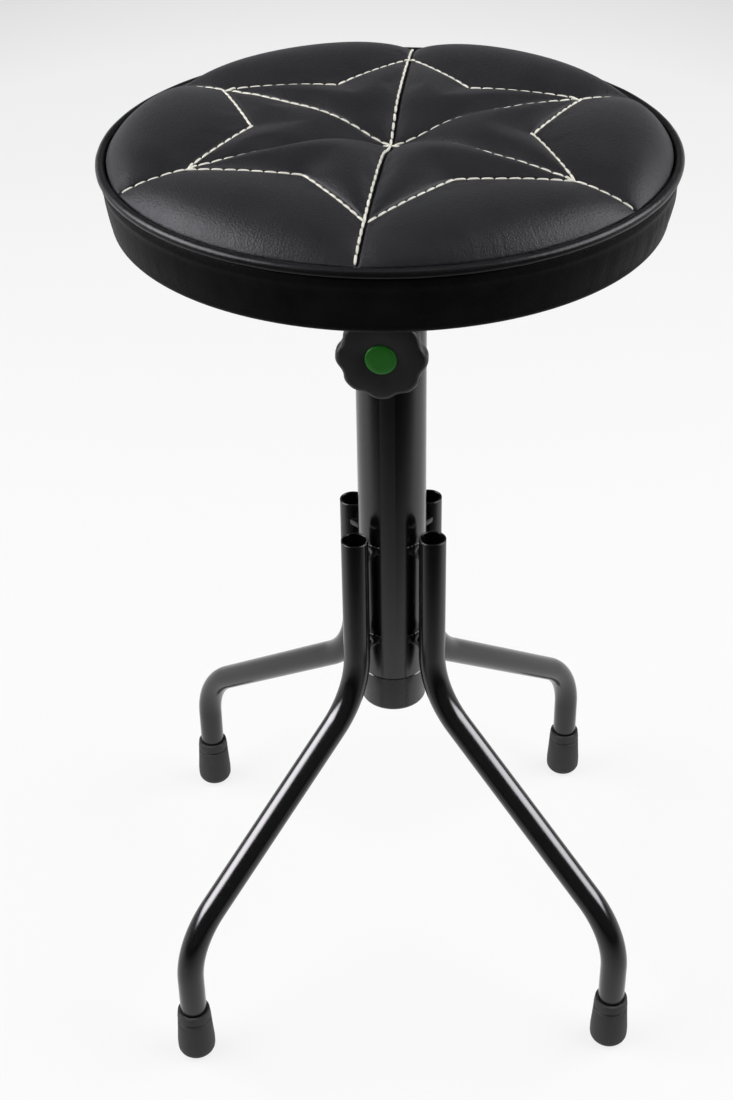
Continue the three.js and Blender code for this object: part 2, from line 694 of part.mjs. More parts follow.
// Square plate with rounded corners, four screw holes and the axle's hole.
function seatPlate() {
  const inner = PLATE_SIDE / 2 - PLATE_CORNER_RADIUS;
  const shape = new THREE.Shape();
  screwPlaces.forEach(([x, y], quarter) => {
    const start = (quarter * Math.PI) / 2;
    shape.absarc(x * inner, y * inner, PLATE_CORNER_RADIUS, start, start + Math.PI / 2, false);
  });
  const sheet = new THREE.ExtrudeGeometry(shape, {
    depth: PLATE_THICKNESS,
    bevelEnabled: false,
    curveSegments: SADDLE_STEPS,
  }).translate(0, 0, plateBottom);
  const low = plateBottom - OVERRUN;
  const high = plateTop + OVERRUN;
  const holes = [plug(bushInner, low, high, SHAFT_SIDES), ...holesThrough(screwHole, low, high)];
  return mesh("seat_plate", cut(sheet, holes), "blackPaint");
}

function plateScrew(number, place) {
  const head = SCREW_HEAD_DIAMETER / 2;
  const outline = [
    [0, screwTop - SCREW_HEAD],
    [head / 2, screwTop - SCREW_HEAD],
    [head, screwTop - SCREW_HEAD / 3],
    [head, screwTop],
    [screwRadius, screwTop],
    [screwRadius, screwTop + SCREW_LENGTH],
    [0, screwTop + SCREW_LENGTH],
  ];
  return mesh(`plate_screw_${number}`, placed(turned(outline, SCREW_SIDES), place), "zincSteel");
}

function teeNut(number, place) {
  const flangeTop = boardTop - CLEARANCE;
  const flangeBottom = flangeTop - TEE_NUT_FLANGE;
  const outline = [
    [screwHole, flangeBottom - TEE_NUT_BARREL],
    [barrelRadius, flangeBottom - TEE_NUT_BARREL],
    [barrelRadius, flangeBottom],
    [TEE_NUT_FLANGE_DIAMETER / 2, flangeBottom],
    [TEE_NUT_FLANGE_DIAMETER / 2, flangeTop],
    [screwHole, flangeTop],
  ];
  return mesh(`tee_nut_${number}`, placed(turned(outline, SCREW_SIDES), place), "zincSteel");
}

// Plywood disc with an eased lower edge, a pocket for the axle's head and seats for the tee nuts.
function seatBoard() {
  const outline = [
    [0, boardBottom],
    ...rounded(boardRadius - BAND_EDGE_RADIUS, boardBottom + BAND_EDGE_RADIUS, BAND_EDGE_RADIUS, -90, 0),
    [boardRadius, boardTop],
    [0, boardTop],
  ];
  const headTop = plateTop + CLEARANCE + AXLE_HEAD + CLEARANCE;
  const flangeSeat = boardTop - CLEARANCE - TEE_NUT_FLANGE - CLEARANCE;
  const holes = [
    plug(AXLE_HEAD_DIAMETER / 2 + CLEARANCE, boardBottom - OVERRUN, headTop, SHAFT_SIDES),
    ...holesThrough(barrelRadius + CLEARANCE, boardBottom - OVERRUN, boardTop + OVERRUN),
    ...holesThrough(TEE_NUT_FLANGE_DIAMETER / 2 + CLEARANCE, flangeSeat, boardTop + OVERRUN),
  ];
  return mesh("seat_board", cut(turned(outline, SEAT_SIDES), holes), "plywood");
}

// Side band of the cover: upright wall with a slight belly, a rounded lower edge and a hem under the board.
function sideBand() {
  const bandBase = hemBottom + BAND_EDGE_RADIUS;
  const edgeCentre = bandBottomRadius - BAND_EDGE_RADIUS;
  const hemEnd = edgeCentre - BAND_HEM_WIDTH;
  const bellyHeight = (bandBase + bandTop) / 2;
  const bellyRadius = (bandBottomRadius + bandTopRadius) / 2 + BAND_BULGE;
  const inner = BAND_EDGE_RADIUS - BAND_THICKNESS;
  const outline = [
    [hemEnd, hemBottom],
    ...rounded(edgeCentre, bandBase, BAND_EDGE_RADIUS, -90, 0),
    [bellyRadius, bellyHeight],
    [bandTopRadius, bandTop],
    [bandTopRadius - BAND_THICKNESS, bandTop],
    [bellyRadius - BAND_THICKNESS, bellyHeight],
    ...rounded(edgeCentre, bandBase, inner, 0, -90),
    [hemEnd, hemBottom + BAND_THICKNESS],
  ];
  return mesh("side_band", turned(outline, SEAT_SIDES), "blackLeatherette");
}

function seatPiping() {
  const section = circlePoints(pipingRadius, CORD_SIDES);
  const outline = section.map((point) => [pipingCentreRadius + point.x, pipingHeight + point.y]);
  return mesh("seat_piping", turned(outline, SEAT_SIDES), "blackLeatherette");
}

// Dust cloth: flat against the board in the middle, stepping down to lap over the hem.
function undersideCloth() {
  const hemEnd = bandBottomRadius - BAND_EDGE_RADIUS - BAND_HEM_WIDTH;
  const stepEnd = hemEnd - CLEARANCE;
  const stepStart = stepEnd - CLOTH_STEP;
  const edge = hemEnd + CLOTH_LAP;
  const lapTop = hemBottom - CLEARANCE;
  const hole = AXLE_HEAD_DIAMETER / 2 + CLEARANCE;
  const outline = [
    [hole, clothBottom],
    [stepStart, clothBottom],
    [stepEnd, lapTop - CLOTH_THICKNESS],
    [edge, lapTop - CLOTH_THICKNESS],
    [edge, lapTop],
    [stepEnd, lapTop],
    [stepStart, clothBottom + CLOTH_THICKNESS],
    [hole, clothBottom + CLOTH_THICKNESS],
  ];
  const holes = holesThrough(screwHole, clothBottom - OVERRUN, boardBottom);
  return mesh("underside_cloth", cut(turned(outline, COLUMN_SIDES), holes), "blackCloth");
}

const halfPoint = Math.PI / STAR_POINTS;

// Radius of the star's straight edge at an angle from its nearest tip.
function starEdgeRadius(angle) {
  const tipPull = STAR_VALLEY_RADIUS * Math.sin(halfPoint - angle);
  const valleyPull = STAR_TIP_RADIUS * Math.sin(angle);
  return (STAR_TIP_RADIUS * STAR_VALLEY_RADIUS * Math.sin(halfPoint)) / (tipPull + valleyPull);
}

// Height of the seams above the piping's level: a low dome with a pulled-down centre.
function seamLevel(radius) {
  const share = radius / panelRadius;
  const dome = SEAM_RISE_AT_RIM + (SEAM_RISE - SEAM_RISE_AT_RIM) * (1 - share ** 5);
  return pipingHeight + dome - SEAM_CENTRE_DIP * Math.exp(-((radius / SEAM_DIP_RADIUS) ** 2));
}

// Distance of a point to the straight line through a tip and its valley.
function edgeDistance(radius, angle) {
  const run = Math.hypot(
    STAR_TIP_RADIUS - STAR_VALLEY_RADIUS * Math.cos(halfPoint),
    STAR_VALLEY_RADIUS * Math.sin(halfPoint),
  );
  const tipPull = STAR_VALLEY_RADIUS * Math.sin(halfPoint - angle);
  const valleyPull = STAR_TIP_RADIUS * Math.sin(angle);
  const lineArea = STAR_TIP_RADIUS * STAR_VALLEY_RADIUS * Math.sin(halfPoint);
  return Math.abs(lineArea - radius * (tipPull + valleyPull)) / run;
}

// How far the padding swells above its seams, in a star facet or in the field round the star.
function puff(radius, angle, inStar) {
  const nearest = Math.min(edgeDistance(radius, angle), radius * Math.sin(angle));
  const swell = 1 - Math.exp(-nearest / PUFF_REACH);
  if (inStar) return FACET_PUFF * swell;
  return FIELD_PUFF * swell * (1 - Math.exp(-(panelRadius - radius) / RIM_PUFF_REACH));
}

const spokes = Array.from({ length: STAR_POINTS }, (_, point) => SPOKE_SHARES.map((share) => ({
  turn: (2 * point + share) * halfPoint,
  fromTip: halfPoint * (1 - Math.abs(1 - share)),
}))).flat();

// One ring of the quilted surface, inside the star or in the field between it and the rim.
function quiltRing(share, inStar, rim, heightAt) {
  return spokes.map(({ turn, fromTip }) => {
    const edge = starEdgeRadius(fromTip);
    const radius = inStar ? edge * share : edge + (rim - edge) * share;
    return [radius * Math.sin(turn), -radius * Math.cos(turn), heightAt(radius, fromTip, inStar)];
  });
}

function quiltRings(starShares, fieldShares, rim, heightAt) {
  return [
    [[0, 0, heightAt(0, 0, true)]],
    ...starShares.map((share) => quiltRing(share, true, rim, heightAt)),
    ...fieldShares.map((share) => quiltRing(share, false, rim, heightAt)),
  ];
}

const panelTop = (radius, angle, inStar) => seamLevel(radius) + puff(radius, angle, inStar);
const panelBack = (radius) => seamLevel(radius) - SEAM_THICKNESS;
const foamTop = (radius) => panelBack(radius) - CLEARANCE;

// Quilted top: leatherette on wadding, puffed between the seams, over the smooth crown of the foam.
function topPanel() {
  const back = quiltRings(BACK_STAR_RING_SHARES, BACK_FIELD_RING_SHARES, panelRadius, panelBack);
  const top = quiltRings(STAR_RING_SHARES, FIELD_RING_SHARES, panelRadius, panelTop);
  return mesh("top_panel", skin([...back, ...top.reverse()]), "blackLeatherette");
}

function seatFoam() {
  const top = quiltRings(BACK_STAR_RING_SHARES, BACK_FIELD_RING_SHARES, panelRadius, foamTop);
  const wall = quiltRing(1, false, foamRadius, () => boardTop + CLEARANCE);
  return mesh("seat_foam", skin([[[0, 0, boardTop + CLEARANCE]], wall, ...top.reverse()]), "foam");
}

const stool = new THREE.Group();

const frame = new THREE.Group();
frame.add(columnTube(), columnBush(), columnEndCap(), clampBoss());
Object.entries(LEG_AZIMUTHS).forEach(([name, azimuth]) => {
  frame.add(leg(name, azimuth), foot(name, azimuth));
  frame.add(spacer("upper", name, azimuth), spacer("lower", name, azimuth));
});

const clamp = new THREE.Group();
clamp.add(clampPad(), clampStud(), clampKnob(), knobCap());

const post = new THREE.Group();
post.add(postTube(), postGlide(), swivelHousing(), thrustWasher());
post.add(swivelBush("swivel_bush_upper", housingTop - SWIVEL_BUSH_FLANGE, -1));
post.add(swivelBush("swivel_bush_lower", lowerFlangeBottom, 1));

const seat = new THREE.Group();
seat.add(swivelAxle(), axleWasher(), axleLockNut(), seatPlate(), seatBoard(), undersideCloth());
screwPlaces.forEach((place, i) => seat.add(plateScrew(i + 1, place), teeNut(i + 1, place)));
seat.add(sideBand(), seatPiping(), seatFoam(), topPanel());
seat.rotation.z = THREE.MathUtils.degToRad(STAR_AZIMUTH);

stool.add(frame, clamp, post, seat);

export default stool;
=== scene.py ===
"""Looks of a height-adjustable swivel stool: a quilted seat on a clamped post, a column and four bent legs.

Metres, +Z up, front towards -Y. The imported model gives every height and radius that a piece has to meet.
"""

from __future__ import annotations

import sys

import logging
import math
from collections.abc import Callable, Iterable, Sequence
from dataclasses import dataclass
from enum import Enum
from typing import Any, ClassVar

import bmesh
import bpy
from mathutils import Matrix, Vector, noise
from mathutils.bvhtree import BVHTree
from mathutils.geometry import barycentric_transform


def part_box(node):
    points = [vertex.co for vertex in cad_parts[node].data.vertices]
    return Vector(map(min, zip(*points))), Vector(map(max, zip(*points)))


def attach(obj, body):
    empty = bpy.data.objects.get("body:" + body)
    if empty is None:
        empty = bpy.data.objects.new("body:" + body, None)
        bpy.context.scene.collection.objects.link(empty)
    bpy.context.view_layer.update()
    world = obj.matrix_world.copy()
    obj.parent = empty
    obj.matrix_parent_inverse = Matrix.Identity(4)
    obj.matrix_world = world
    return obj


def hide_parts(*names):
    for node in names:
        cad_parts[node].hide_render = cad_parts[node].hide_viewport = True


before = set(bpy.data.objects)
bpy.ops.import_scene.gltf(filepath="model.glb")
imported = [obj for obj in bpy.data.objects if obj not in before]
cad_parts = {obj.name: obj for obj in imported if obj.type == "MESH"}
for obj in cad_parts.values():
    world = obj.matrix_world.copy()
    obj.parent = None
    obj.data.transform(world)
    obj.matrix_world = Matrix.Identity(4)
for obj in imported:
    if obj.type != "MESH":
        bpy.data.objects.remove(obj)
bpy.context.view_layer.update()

log = logging.getLogger("stool")

TINY = 1e-6
SEAT_TURN = math.radians(-7.8)
CLAMP_TURN = math.radians(-9.2)
AXIS = Vector((0.0, 0.0, 1.0))
Point = tuple[float, float]
Stops = tuple[Point, ...]
Colour = tuple[float, float, float]
Sockets = dict[int | str, Any]


class Body(Enum):
    """The bodies that pieces ride on."""

    BASE = "base"
    KNOB = "knob"
    POST = "post"
    SEAT = "seat"


class Slot(Enum):
    """The material slots that the finishes name."""

    BLACK_PAINT = "black_paint"
    CAP_PLASTIC = "cap_plastic"
    BLACK_PLASTIC = "black_plastic"
    KNOB_PLASTIC = "knob_plastic"
    GREEN_PLASTIC = "green_plastic"
    BLACK_RUBBER = "black_rubber"
    LEATHERETTE = "leatherette"
    BLACK_CLOTH = "black_cloth"
    PLYWOOD = "plywood"
    ZINC_STEEL = "zinc_steel"
    POST_STEEL = "post_steel"
    BRASS = "brass"
    PALE_PLASTIC = "pale_plastic"


class Corner(Enum):
    """The four legs, with the direction each one points in, in degrees from the front."""

    FRONT_LEFT = -45
    FRONT_RIGHT = 45
    REAR_LEFT = -135
    REAR_RIGHT = 135

    @property
    def label(self) -> str:
        """Returns the corner's name as the nodes have it."""
        return self.name.lower()

    @property
    def turn(self) -> Matrix:
        """Returns the turn from the front to this corner."""
        return turned_by(math.radians(self.value))


class Part(Enum):
    """The kinds of element that are picked in edit mode."""

    VERTEX = "VERT"
    EDGE = "EDGE"


def operator(operation: str, swapped: bool = False) -> Callable[[Term, Term | float], Term]:
    """Makes one of a term's operators.

    Args:
        operation: the Math node's operation.
        swapped: whether the other value comes first.

    Returns:
        A method that joins a term and another value with a new Math node.
    """

    def joined(term: Term, other: Term | float) -> Term:
        """Returns the output of the new Math node."""
        values = (other, term) if swapped else (term, other)
        return term.graph.node("ShaderNodeMath", {"operation": operation}, dict(enumerate(values)))

    return joined


@dataclass(frozen=True, eq=False)
class Term:
    """A socket of a node tree that Python arithmetic extends with Math nodes."""

    graph: Graph
    socket: bpy.types.NodeSocket

    __add__ = operator("ADD")
    __radd__ = operator("ADD", swapped=True)
    __sub__ = operator("SUBTRACT")
    __rsub__ = operator("SUBTRACT", swapped=True)
    __mul__ = operator("MULTIPLY")
    __rmul__ = operator("MULTIPLY", swapped=True)
    __truediv__ = operator("DIVIDE")
    __pow__ = operator("POWER")
    at_least = operator("MAXIMUM")
    at_most = operator("MINIMUM")


@dataclass(frozen=True)
class Grain:
    """A noise: the width of its blotches in metres, how many finer layers it has and how strong they are."""

    size: float
    detail: float = 3.0
    roughness: float = 0.55


class Graph:
    """A node tree that is written as expressions."""

    # The sockets of a Mix node that mixes colours.
    MIX_FACTOR, MIX_FIRST, MIX_SECOND, MIX_RESULT = 0, 6, 7, 2

    def __init__(self, tree: bpy.types.NodeTree) -> None:
        """Empties the node tree of a material or of the world."""
        self.tree = tree
        tree.nodes.clear()

    def node(
        self, kind: str, settings: dict[str, Any] | None = None, sockets: Sockets | None = None, output: int | str = 0
    ) -> Term | None:
        """Adds a node.

        Args:
            kind: the node's type.
            settings: the node's own settings, with a ramp's grey stops, of position and level, under "stops".
            sockets: a value or a term for each input, by its name or number.
            output: the output to return.

        Returns:
            The output as a term, or None where the node has no outputs.
        """
        made = self.tree.nodes.new(kind)
        for name, value in (settings or {}).items():
            if name != "stops":
                setattr(made, name, value)
                continue
            while len(made.color_ramp.elements) < len(value):
                made.color_ramp.elements.new(1.0)
            for element, (position, level) in zip(made.color_ramp.elements, value):
                element.position, element.color = position, (level, level, level, 1.0)
        for name, value in (sockets or {}).items():
            if isinstance(value, Term):
                self.tree.links.new(value.socket, made.inputs[name])
            else:
                made.inputs[name].default_value = value
        return Term(self, made.outputs[output]) if made.outputs else None

    def axis(self, vector: Term, letter: str) -> Term:
        """Returns one component of a vector, X, Y or Z."""
        return self.node("ShaderNodeSeparateXYZ", None, {"Vector": vector}, letter)

    def rays(self) -> tuple[Term, ...]:
        """Returns whether a ray comes from the camera, from a gloss or through a clear surface."""
        kinds = ("Is Camera Ray", "Is Glossy Ray", "Is Transmission Ray")
        return tuple(self.node("ShaderNodeLightPath", output=kind) for kind in kinds)

    def place(self, stretch: Colour = (1.0, 1.0, 1.0)) -> Term:
        """Returns Object coordinates, stretched along each axis."""
        own = self.node("ShaderNodeTexCoord", output="Object")
        return self.node("ShaderNodeMapping", None, {"Vector": own, "Scale": stretch})

    def grain(self, grain: Grain, place: Term) -> Term:
        """Returns a noise between 0 and 1 that follows coordinates."""
        inputs = {"Scale": 1.0 / grain.size, "Detail": grain.detail, "Roughness": grain.roughness}
        return self.node("ShaderNodeTexNoise", None, {"Vector": place, **inputs})

    def cells(self, size: float, place: Term) -> Term:
        """Returns the smoothed distance to the nearest of scattered points, in cells of one size in metres."""
        return self.node("ShaderNodeTexVoronoi", {"feature": "SMOOTH_F1"}, {"Vector": place, "Scale": 1.0 / size})

    def ramp(self, value: Term, stops: Stops) -> Term:
        """Returns a value led through a ramp of grey stops."""
        return self.node("ShaderNodeValToRGB", {"stops": stops}, {"Fac": value})

    def bump(self, height: Term, depth: float, strength: float = 1.0, **under: Term) -> Term:
        """Returns a normal raised by a height of 0 to 1, which stands for a depth in metres, over another Normal."""
        return self.node("ShaderNodeBump", None, {"Height": height, "Distance": depth, "Strength": strength, **under})

    def blend(self, share: Term, first: Colour, second: Colour) -> Term:
        """Returns a colour between two, by a share."""
        inputs = {self.MIX_FACTOR: share, self.MIX_FIRST: (*first, 1.0), self.MIX_SECOND: (*second, 1.0)}
        return self.node("ShaderNodeMix", {"data_type": "RGBA"}, inputs, self.MIX_RESULT)


def new_material(name: str, surface: Callable[[Graph], Term]) -> bpy.types.Material:
    """Makes a material.

    Args:
        name: its name.
        surface: draws the material's nodes and gives its shader.

    Returns:
        The material.
    """
    made = bpy.data.materials.new(name)
    made.use_nodes = True
    graph = Graph(made.node_tree)
    graph.node("ShaderNodeOutputMaterial", None, {"Surface": surface(graph)})
    return made


def lighter(colour: Colour, share: float) -> Colour:
    """Returns a colour moved towards white by a share, or towards black by a negative one."""
    goal = 1.0 if share > 0 else 0.0
    return tuple(value + (goal - value) * abs(share) for value in colour)


@dataclass(frozen=True)
class Finish:
    """A surface finish: its name, slot, colour and roughness, how strongly it mirrors, and how its tone varies."""

    name: str
    slot: Slot | None
    colour: Colour
    roughness: float
    specular: float = 0.5
    dark: float = 0.0
    light: float = 0.0

    def sockets(self, graph: Graph) -> Sockets:
        """Draws the finish.

        Args:
            graph: the material's node tree.

        Returns:
            What goes into the surface shader, by socket.
        """
        raise NotImplementedError

    def tones(self, graph: Graph, share: Term) -> Term:
        """Returns a colour between the finish's darkest and lightest tone."""
        return graph.blend(share, lighter(self.colour, self.dark), lighter(self.colour, self.light))

    def shader(self, graph: Graph) -> Term:
        """Returns the finish's surface shader."""
        sockets = {"Specular IOR Level": self.specular, **self.sockets(graph)}
        return graph.node("ShaderNodeBsdfPrincipled", None, sockets)

    def material(self) -> bpy.types.Material:
        """Returns the finish's material, made when it is first asked for."""
        made = bpy.data.materials.get(self.name) or new_material(self.name, self.shader)
        made.diffuse_color = (*self.colour, 1.0)
        return made

    def lay_on(self, piece: bpy.types.Object) -> None:
        """Puts the finish on a new piece.

        Args:
            piece: the piece.
        """
        piece.data.materials.clear()
        piece.data.materials.append(self.material())

    def lay_on_nodes(self, *names: str) -> None:
        """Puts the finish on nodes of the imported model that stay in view.

        Args:
            names: the nodes' names.
        """
        for node in (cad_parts[name] for name in names):
            for holder in node.material_slots:
                holder.link = "OBJECT"
                holder.material = self.material()


@dataclass(frozen=True)
class Coat(Finish):
    """A finely textured coat with patches that are lighter, and duller or smoother, than the rest."""

    texture: Grain = Grain(0.0006, 2.0)
    texture_depth: float = 0.00003
    patches: Grain = Grain(0.02, 5.0)
    patchy: Stops = ((0.4, 0.0), (0.8, 1.0))
    patch_roughness: float = -0.1
    cloudy: bool = False

    def sockets(self, graph: Graph) -> Sockets:
        """Draws the coat.

        Args:
            graph: the material's node tree.

        Returns:
            What goes into the surface shader, by socket.
        """
        place = graph.place()
        cloud = graph.grain(self.patches, place)
        patch = graph.ramp(cloud, self.patchy)
        return {
            "Base Color": self.tones(graph, cloud if self.cloudy else patch),
            "Roughness": self.roughness + patch * self.patch_roughness,
            "Normal": graph.bump(graph.grain(self.texture, place), self.texture_depth),
        }


@dataclass(frozen=True)
class StovedPaint(Coat):
    """Black stoved paint on steel tube: semi-gloss, with a faint orange peel and dust in the gloss."""

    light: float = 0.001
    texture: Grain = Grain(0.0022, 2.0)
    texture_depth: float = 0.00002
    patches: Grain = Grain(0.012, 6.0, 0.7)
    patchy: Stops = ((0.45, 0.0), (0.75, 1.0))
    patch_roughness: float = 0.05
    cloudy: bool = True


@dataclass(frozen=True)
class MouldedPlastic(Coat):
    """Moulded plastic with a fine spark-eroded texture and worn, smoother high spots."""

    light: float = 0.004


@dataclass(frozen=True)
class Rubber(Coat):
    """Matt black rubber: fine pores, a bloom of dust in patches."""

    light: float = 0.006
    texture: Grain = Grain(0.0005)
    texture_depth: float = 0.00004
    patches: Grain = Grain(0.008, 7.0, 0.7)
    patchy: Stops = ((0.42, 0.0), (0.7, 1.0))
    patch_roughness: float = 0.05


@dataclass(frozen=True)
class Leatherette(Finish):
    """Coated cloth with a pebbled grain of two sizes, fine creases, and radial puckers where the rim gathers it."""

    dark: float = -0.2
    light: float = 0.006
    wander: Grain = Grain(0.02, 2.0)
    sheen_change: float = 0.12
    pebble: float = 0.0013
    pebble_share: float = 0.6
    pebble_roughness: float = 0.1
    small_share: float = 0.35
    crease: Grain = Grain(0.009, 5.0)
    creased: Stops = ((0.44, 1.0), (0.5, 0.0), (0.56, 1.0))
    crease_share: float = 0.05
    grain_depth: float = 0.00036
    grain_strength: float = 0.9
    pucker: float = 0.006
    pucker_depth: float = 0.0003
    gathered: Point = (0.152, 0.184)

    def sockets(self, graph: Graph) -> Sockets:
        """Draws the leatherette.

        Args:
            graph: the material's node tree.

        Returns:
            What goes into the surface shader, by socket.
        """
        place = graph.place()
        wander = graph.grain(self.wander, place)
        pebbles = graph.cells(self.pebble, place)
        small = graph.cells(self.pebble / 2, place)
        creases = graph.ramp(graph.grain(self.crease, place), self.creased)
        height = pebbles * self.pebble_share + small * self.small_share + creases * self.crease_share
        grain = graph.bump(height, self.grain_depth, self.grain_strength)
        return {
            "Base Color": self.tones(graph, wander),
            "Roughness": self.roughness + (wander - 0.5) * self.sheen_change + pebbles * self.pebble_roughness,
            "Normal": graph.bump(self.puckers(graph), self.pucker_depth, Normal=grain),
        }

    def puckers(self, graph: Graph) -> Term:
        """Draws the puckers, which change round the seat's axis and fade inwards from the rim.

        Args:
            graph: the material's node tree.

        Returns:
            Their height.
        """
        way = graph.node("ShaderNodeVectorMath", {"operation": "NORMALIZE"}, {0: graph.place((1.0, 1.0, 0.0))})
        x, y = graph.axis(graph.place(), "X"), graph.axis(graph.place(), "Y")
        start, end = self.gathered
        share = (((x * x + y * y) ** 0.5 - start) / (end - start)).at_least(0.0).at_most(1.0)
        return graph.grain(Grain(self.pucker / end, 2.0), way) * share


@dataclass(frozen=True)
class DustCloth(Finish):
    """Thin felted cloth: crossing fibres that show in its colour and its surface."""

    dark: float = -0.4
    light: float = 0.05
    fibre: Grain = Grain(0.0009)
    stretch: float = 0.08
    depth: float = 0.0001

    def sockets(self, graph: Graph) -> Sockets:
        """Draws the cloth.

        Args:
            graph: the material's node tree.

        Returns:
            What goes into the surface shader, by socket.
        """
        ways = ((1.0, self.stretch, 1.0), (self.stretch, 1.0, 1.0))
        along, across = (graph.grain(self.fibre, graph.place(way)) for way in ways)
        fibres = along.at_least(across)
        normal = graph.bump(fibres, self.depth)
        return {"Base Color": self.tones(graph, fibres), "Roughness": self.roughness, "Normal": normal}


@dataclass(frozen=True)
class TwistedThread(Finish):
    """Bonded sewing thread: plies that wind round it, with painted shade in the grooves between them. It follows the
    thread's own map.
    """

    # The darker tone, laid in the grooves between the plies, is painted shade.
    dark: float = -0.2
    plies: float = 9.0
    unevenness: float = 0.3
    depth: float = 0.00012

    def sockets(self, graph: Graph) -> Sockets:
        """Draws the thread.

        Args:
            graph: the material's node tree.

        Returns:
            What goes into the surface shader, by socket.
        """
        own = graph.node("ShaderNodeTexCoord", output="UV")
        inputs = {"Vector": own, "Scale": self.plies, "Distortion": self.unevenness}
        plies_and_shade = graph.node("ShaderNodeTexWave", {"bands_direction": "DIAGONAL"}, inputs)
        normal = graph.bump(plies_and_shade, self.depth)
        return {"Base Color": self.tones(graph, plies_and_shade), "Roughness": self.roughness, "Normal": normal}


@dataclass(frozen=True)
class Metal(Finish):
    """Turned or drawn metal: fine marks in one direction and a cloudy film."""

    dark: float = -0.18
    light: float = 0.1
    film: Grain = Grain(0.015, 6.0, 0.65)
    film_roughness: float = 0.16
    marks: Grain = Grain(0.0008, 4.0)
    drawn: Colour = (1.0, 1.0, 0.05)
    depth: float = 0.00001

    def sockets(self, graph: Graph) -> Sockets:
        """Draws the metal.

        Args:
            graph: the material's node tree.

        Returns:
            What goes into the surface shader, by socket.
        """
        film = graph.grain(self.film, graph.place())
        return {
            "Base Color": self.tones(graph, film),
            "Metallic": 1.0,
            "Roughness": self.roughness + (film - 0.5) * self.film_roughness,
            "Normal": graph.bump(graph.grain(self.marks, graph.place(self.drawn)), self.depth),
        }


@dataclass(frozen=True)
class Plywood(Finish):
    """Birch plywood: long soft figure on the face, and plies across the edge."""

    dark: float = -0.35
    light: float = 0.15
    figure: Grain = Grain(0.02, 6.0)
    figure_run: Colour = (0.15, 1.0, 1.0)
    ply: Grain = Grain(0.0014, 0.0)
    ply_run: Colour = (0.01, 0.01, 1.0)
    depth: float = 0.0001

    def sockets(self, graph: Graph) -> Sockets:
        """Draws the wood.

        Args:
            graph: the material's node tree.

        Returns:
            What goes into the surface shader, by socket.
        """
        figure = graph.grain(self.figure, graph.place(self.figure_run))
        plies = graph.grain(self.ply, graph.place(self.ply_run))
        colour = self.tones(graph, (figure + plies) * 0.5)
        return {"Base Color": colour, "Roughness": self.roughness, "Normal": graph.bump(figure, self.depth)}


PAINT = StovedPaint("stoved black paint", Slot.BLACK_PAINT, (0.0018, 0.0018, 0.002), 0.18)
CAP_PLASTIC = MouldedPlastic("smooth black plastic", Slot.CAP_PLASTIC, (0.005, 0.005, 0.0055), 0.3)
BLACK_PLASTIC = MouldedPlastic("black guide plastic", Slot.BLACK_PLASTIC, (0.006, 0.006, 0.0065), 0.4)
KNOB_PLASTIC = MouldedPlastic(
    "textured knob plastic", Slot.KNOB_PLASTIC, (0.006, 0.006, 0.006), 0.5,
    texture=Grain(0.0007, 2.0), texture_depth=0.00004,
)
GREEN_PLASTIC = MouldedPlastic("green cap plastic", Slot.GREEN_PLASTIC, (0.012, 0.15, 0.0085), 0.5, 0.25)
RUBBER = Rubber("matt black rubber", Slot.BLACK_RUBBER, (0.026, 0.026, 0.0265), 0.65, 0.3)
LEATHERETTE = Leatherette("pebbled leatherette", Slot.LEATHERETTE, (0.0068, 0.0068, 0.008), 0.45, 0.12)
# The side band takes a darker, less glossy copy of the seat's leatherette. Its lower colour and specular level are
# painted shade.
SHADED_BAND_LEATHERETTE = Leatherette(
    "band leatherette", Slot.LEATHERETTE, (0.003, 0.003, 0.0034), 0.4, 0.022, pucker_depth=0.00012
)
PIPING_LEATHERETTE = Leatherette(
    "stretched leatherette", Slot.LEATHERETTE, (0.0035, 0.0035, 0.0042), 0.27, 0.12,
    grain_depth=0.00012, pucker_depth=0.0001,
)
DUST_CLOTH = DustCloth("felted dust cloth", Slot.BLACK_CLOTH, (0.011, 0.011, 0.011), 0.95)
THREAD = TwistedThread("cream sewing thread", None, (0.92, 0.90, 0.80), 0.6)
PLYWOOD = Plywood("birch plywood", Slot.PLYWOOD, (0.55, 0.36, 0.17), 0.7)
ZINC = Metal("zinc plated steel", Slot.ZINC_STEEL, (0.42, 0.43, 0.45), 0.35)
CHROME = Metal("bright drawn tube", Slot.POST_STEEL, (0.6, 0.6, 0.62), 0.16)
BRASS = Metal("turned brass", Slot.BRASS, (0.6, 0.4, 0.14), 0.35)
ACETAL = MouldedPlastic("pale bearing plastic", Slot.PALE_PLASTIC, (0.72, 0.7, 0.64), 0.45)


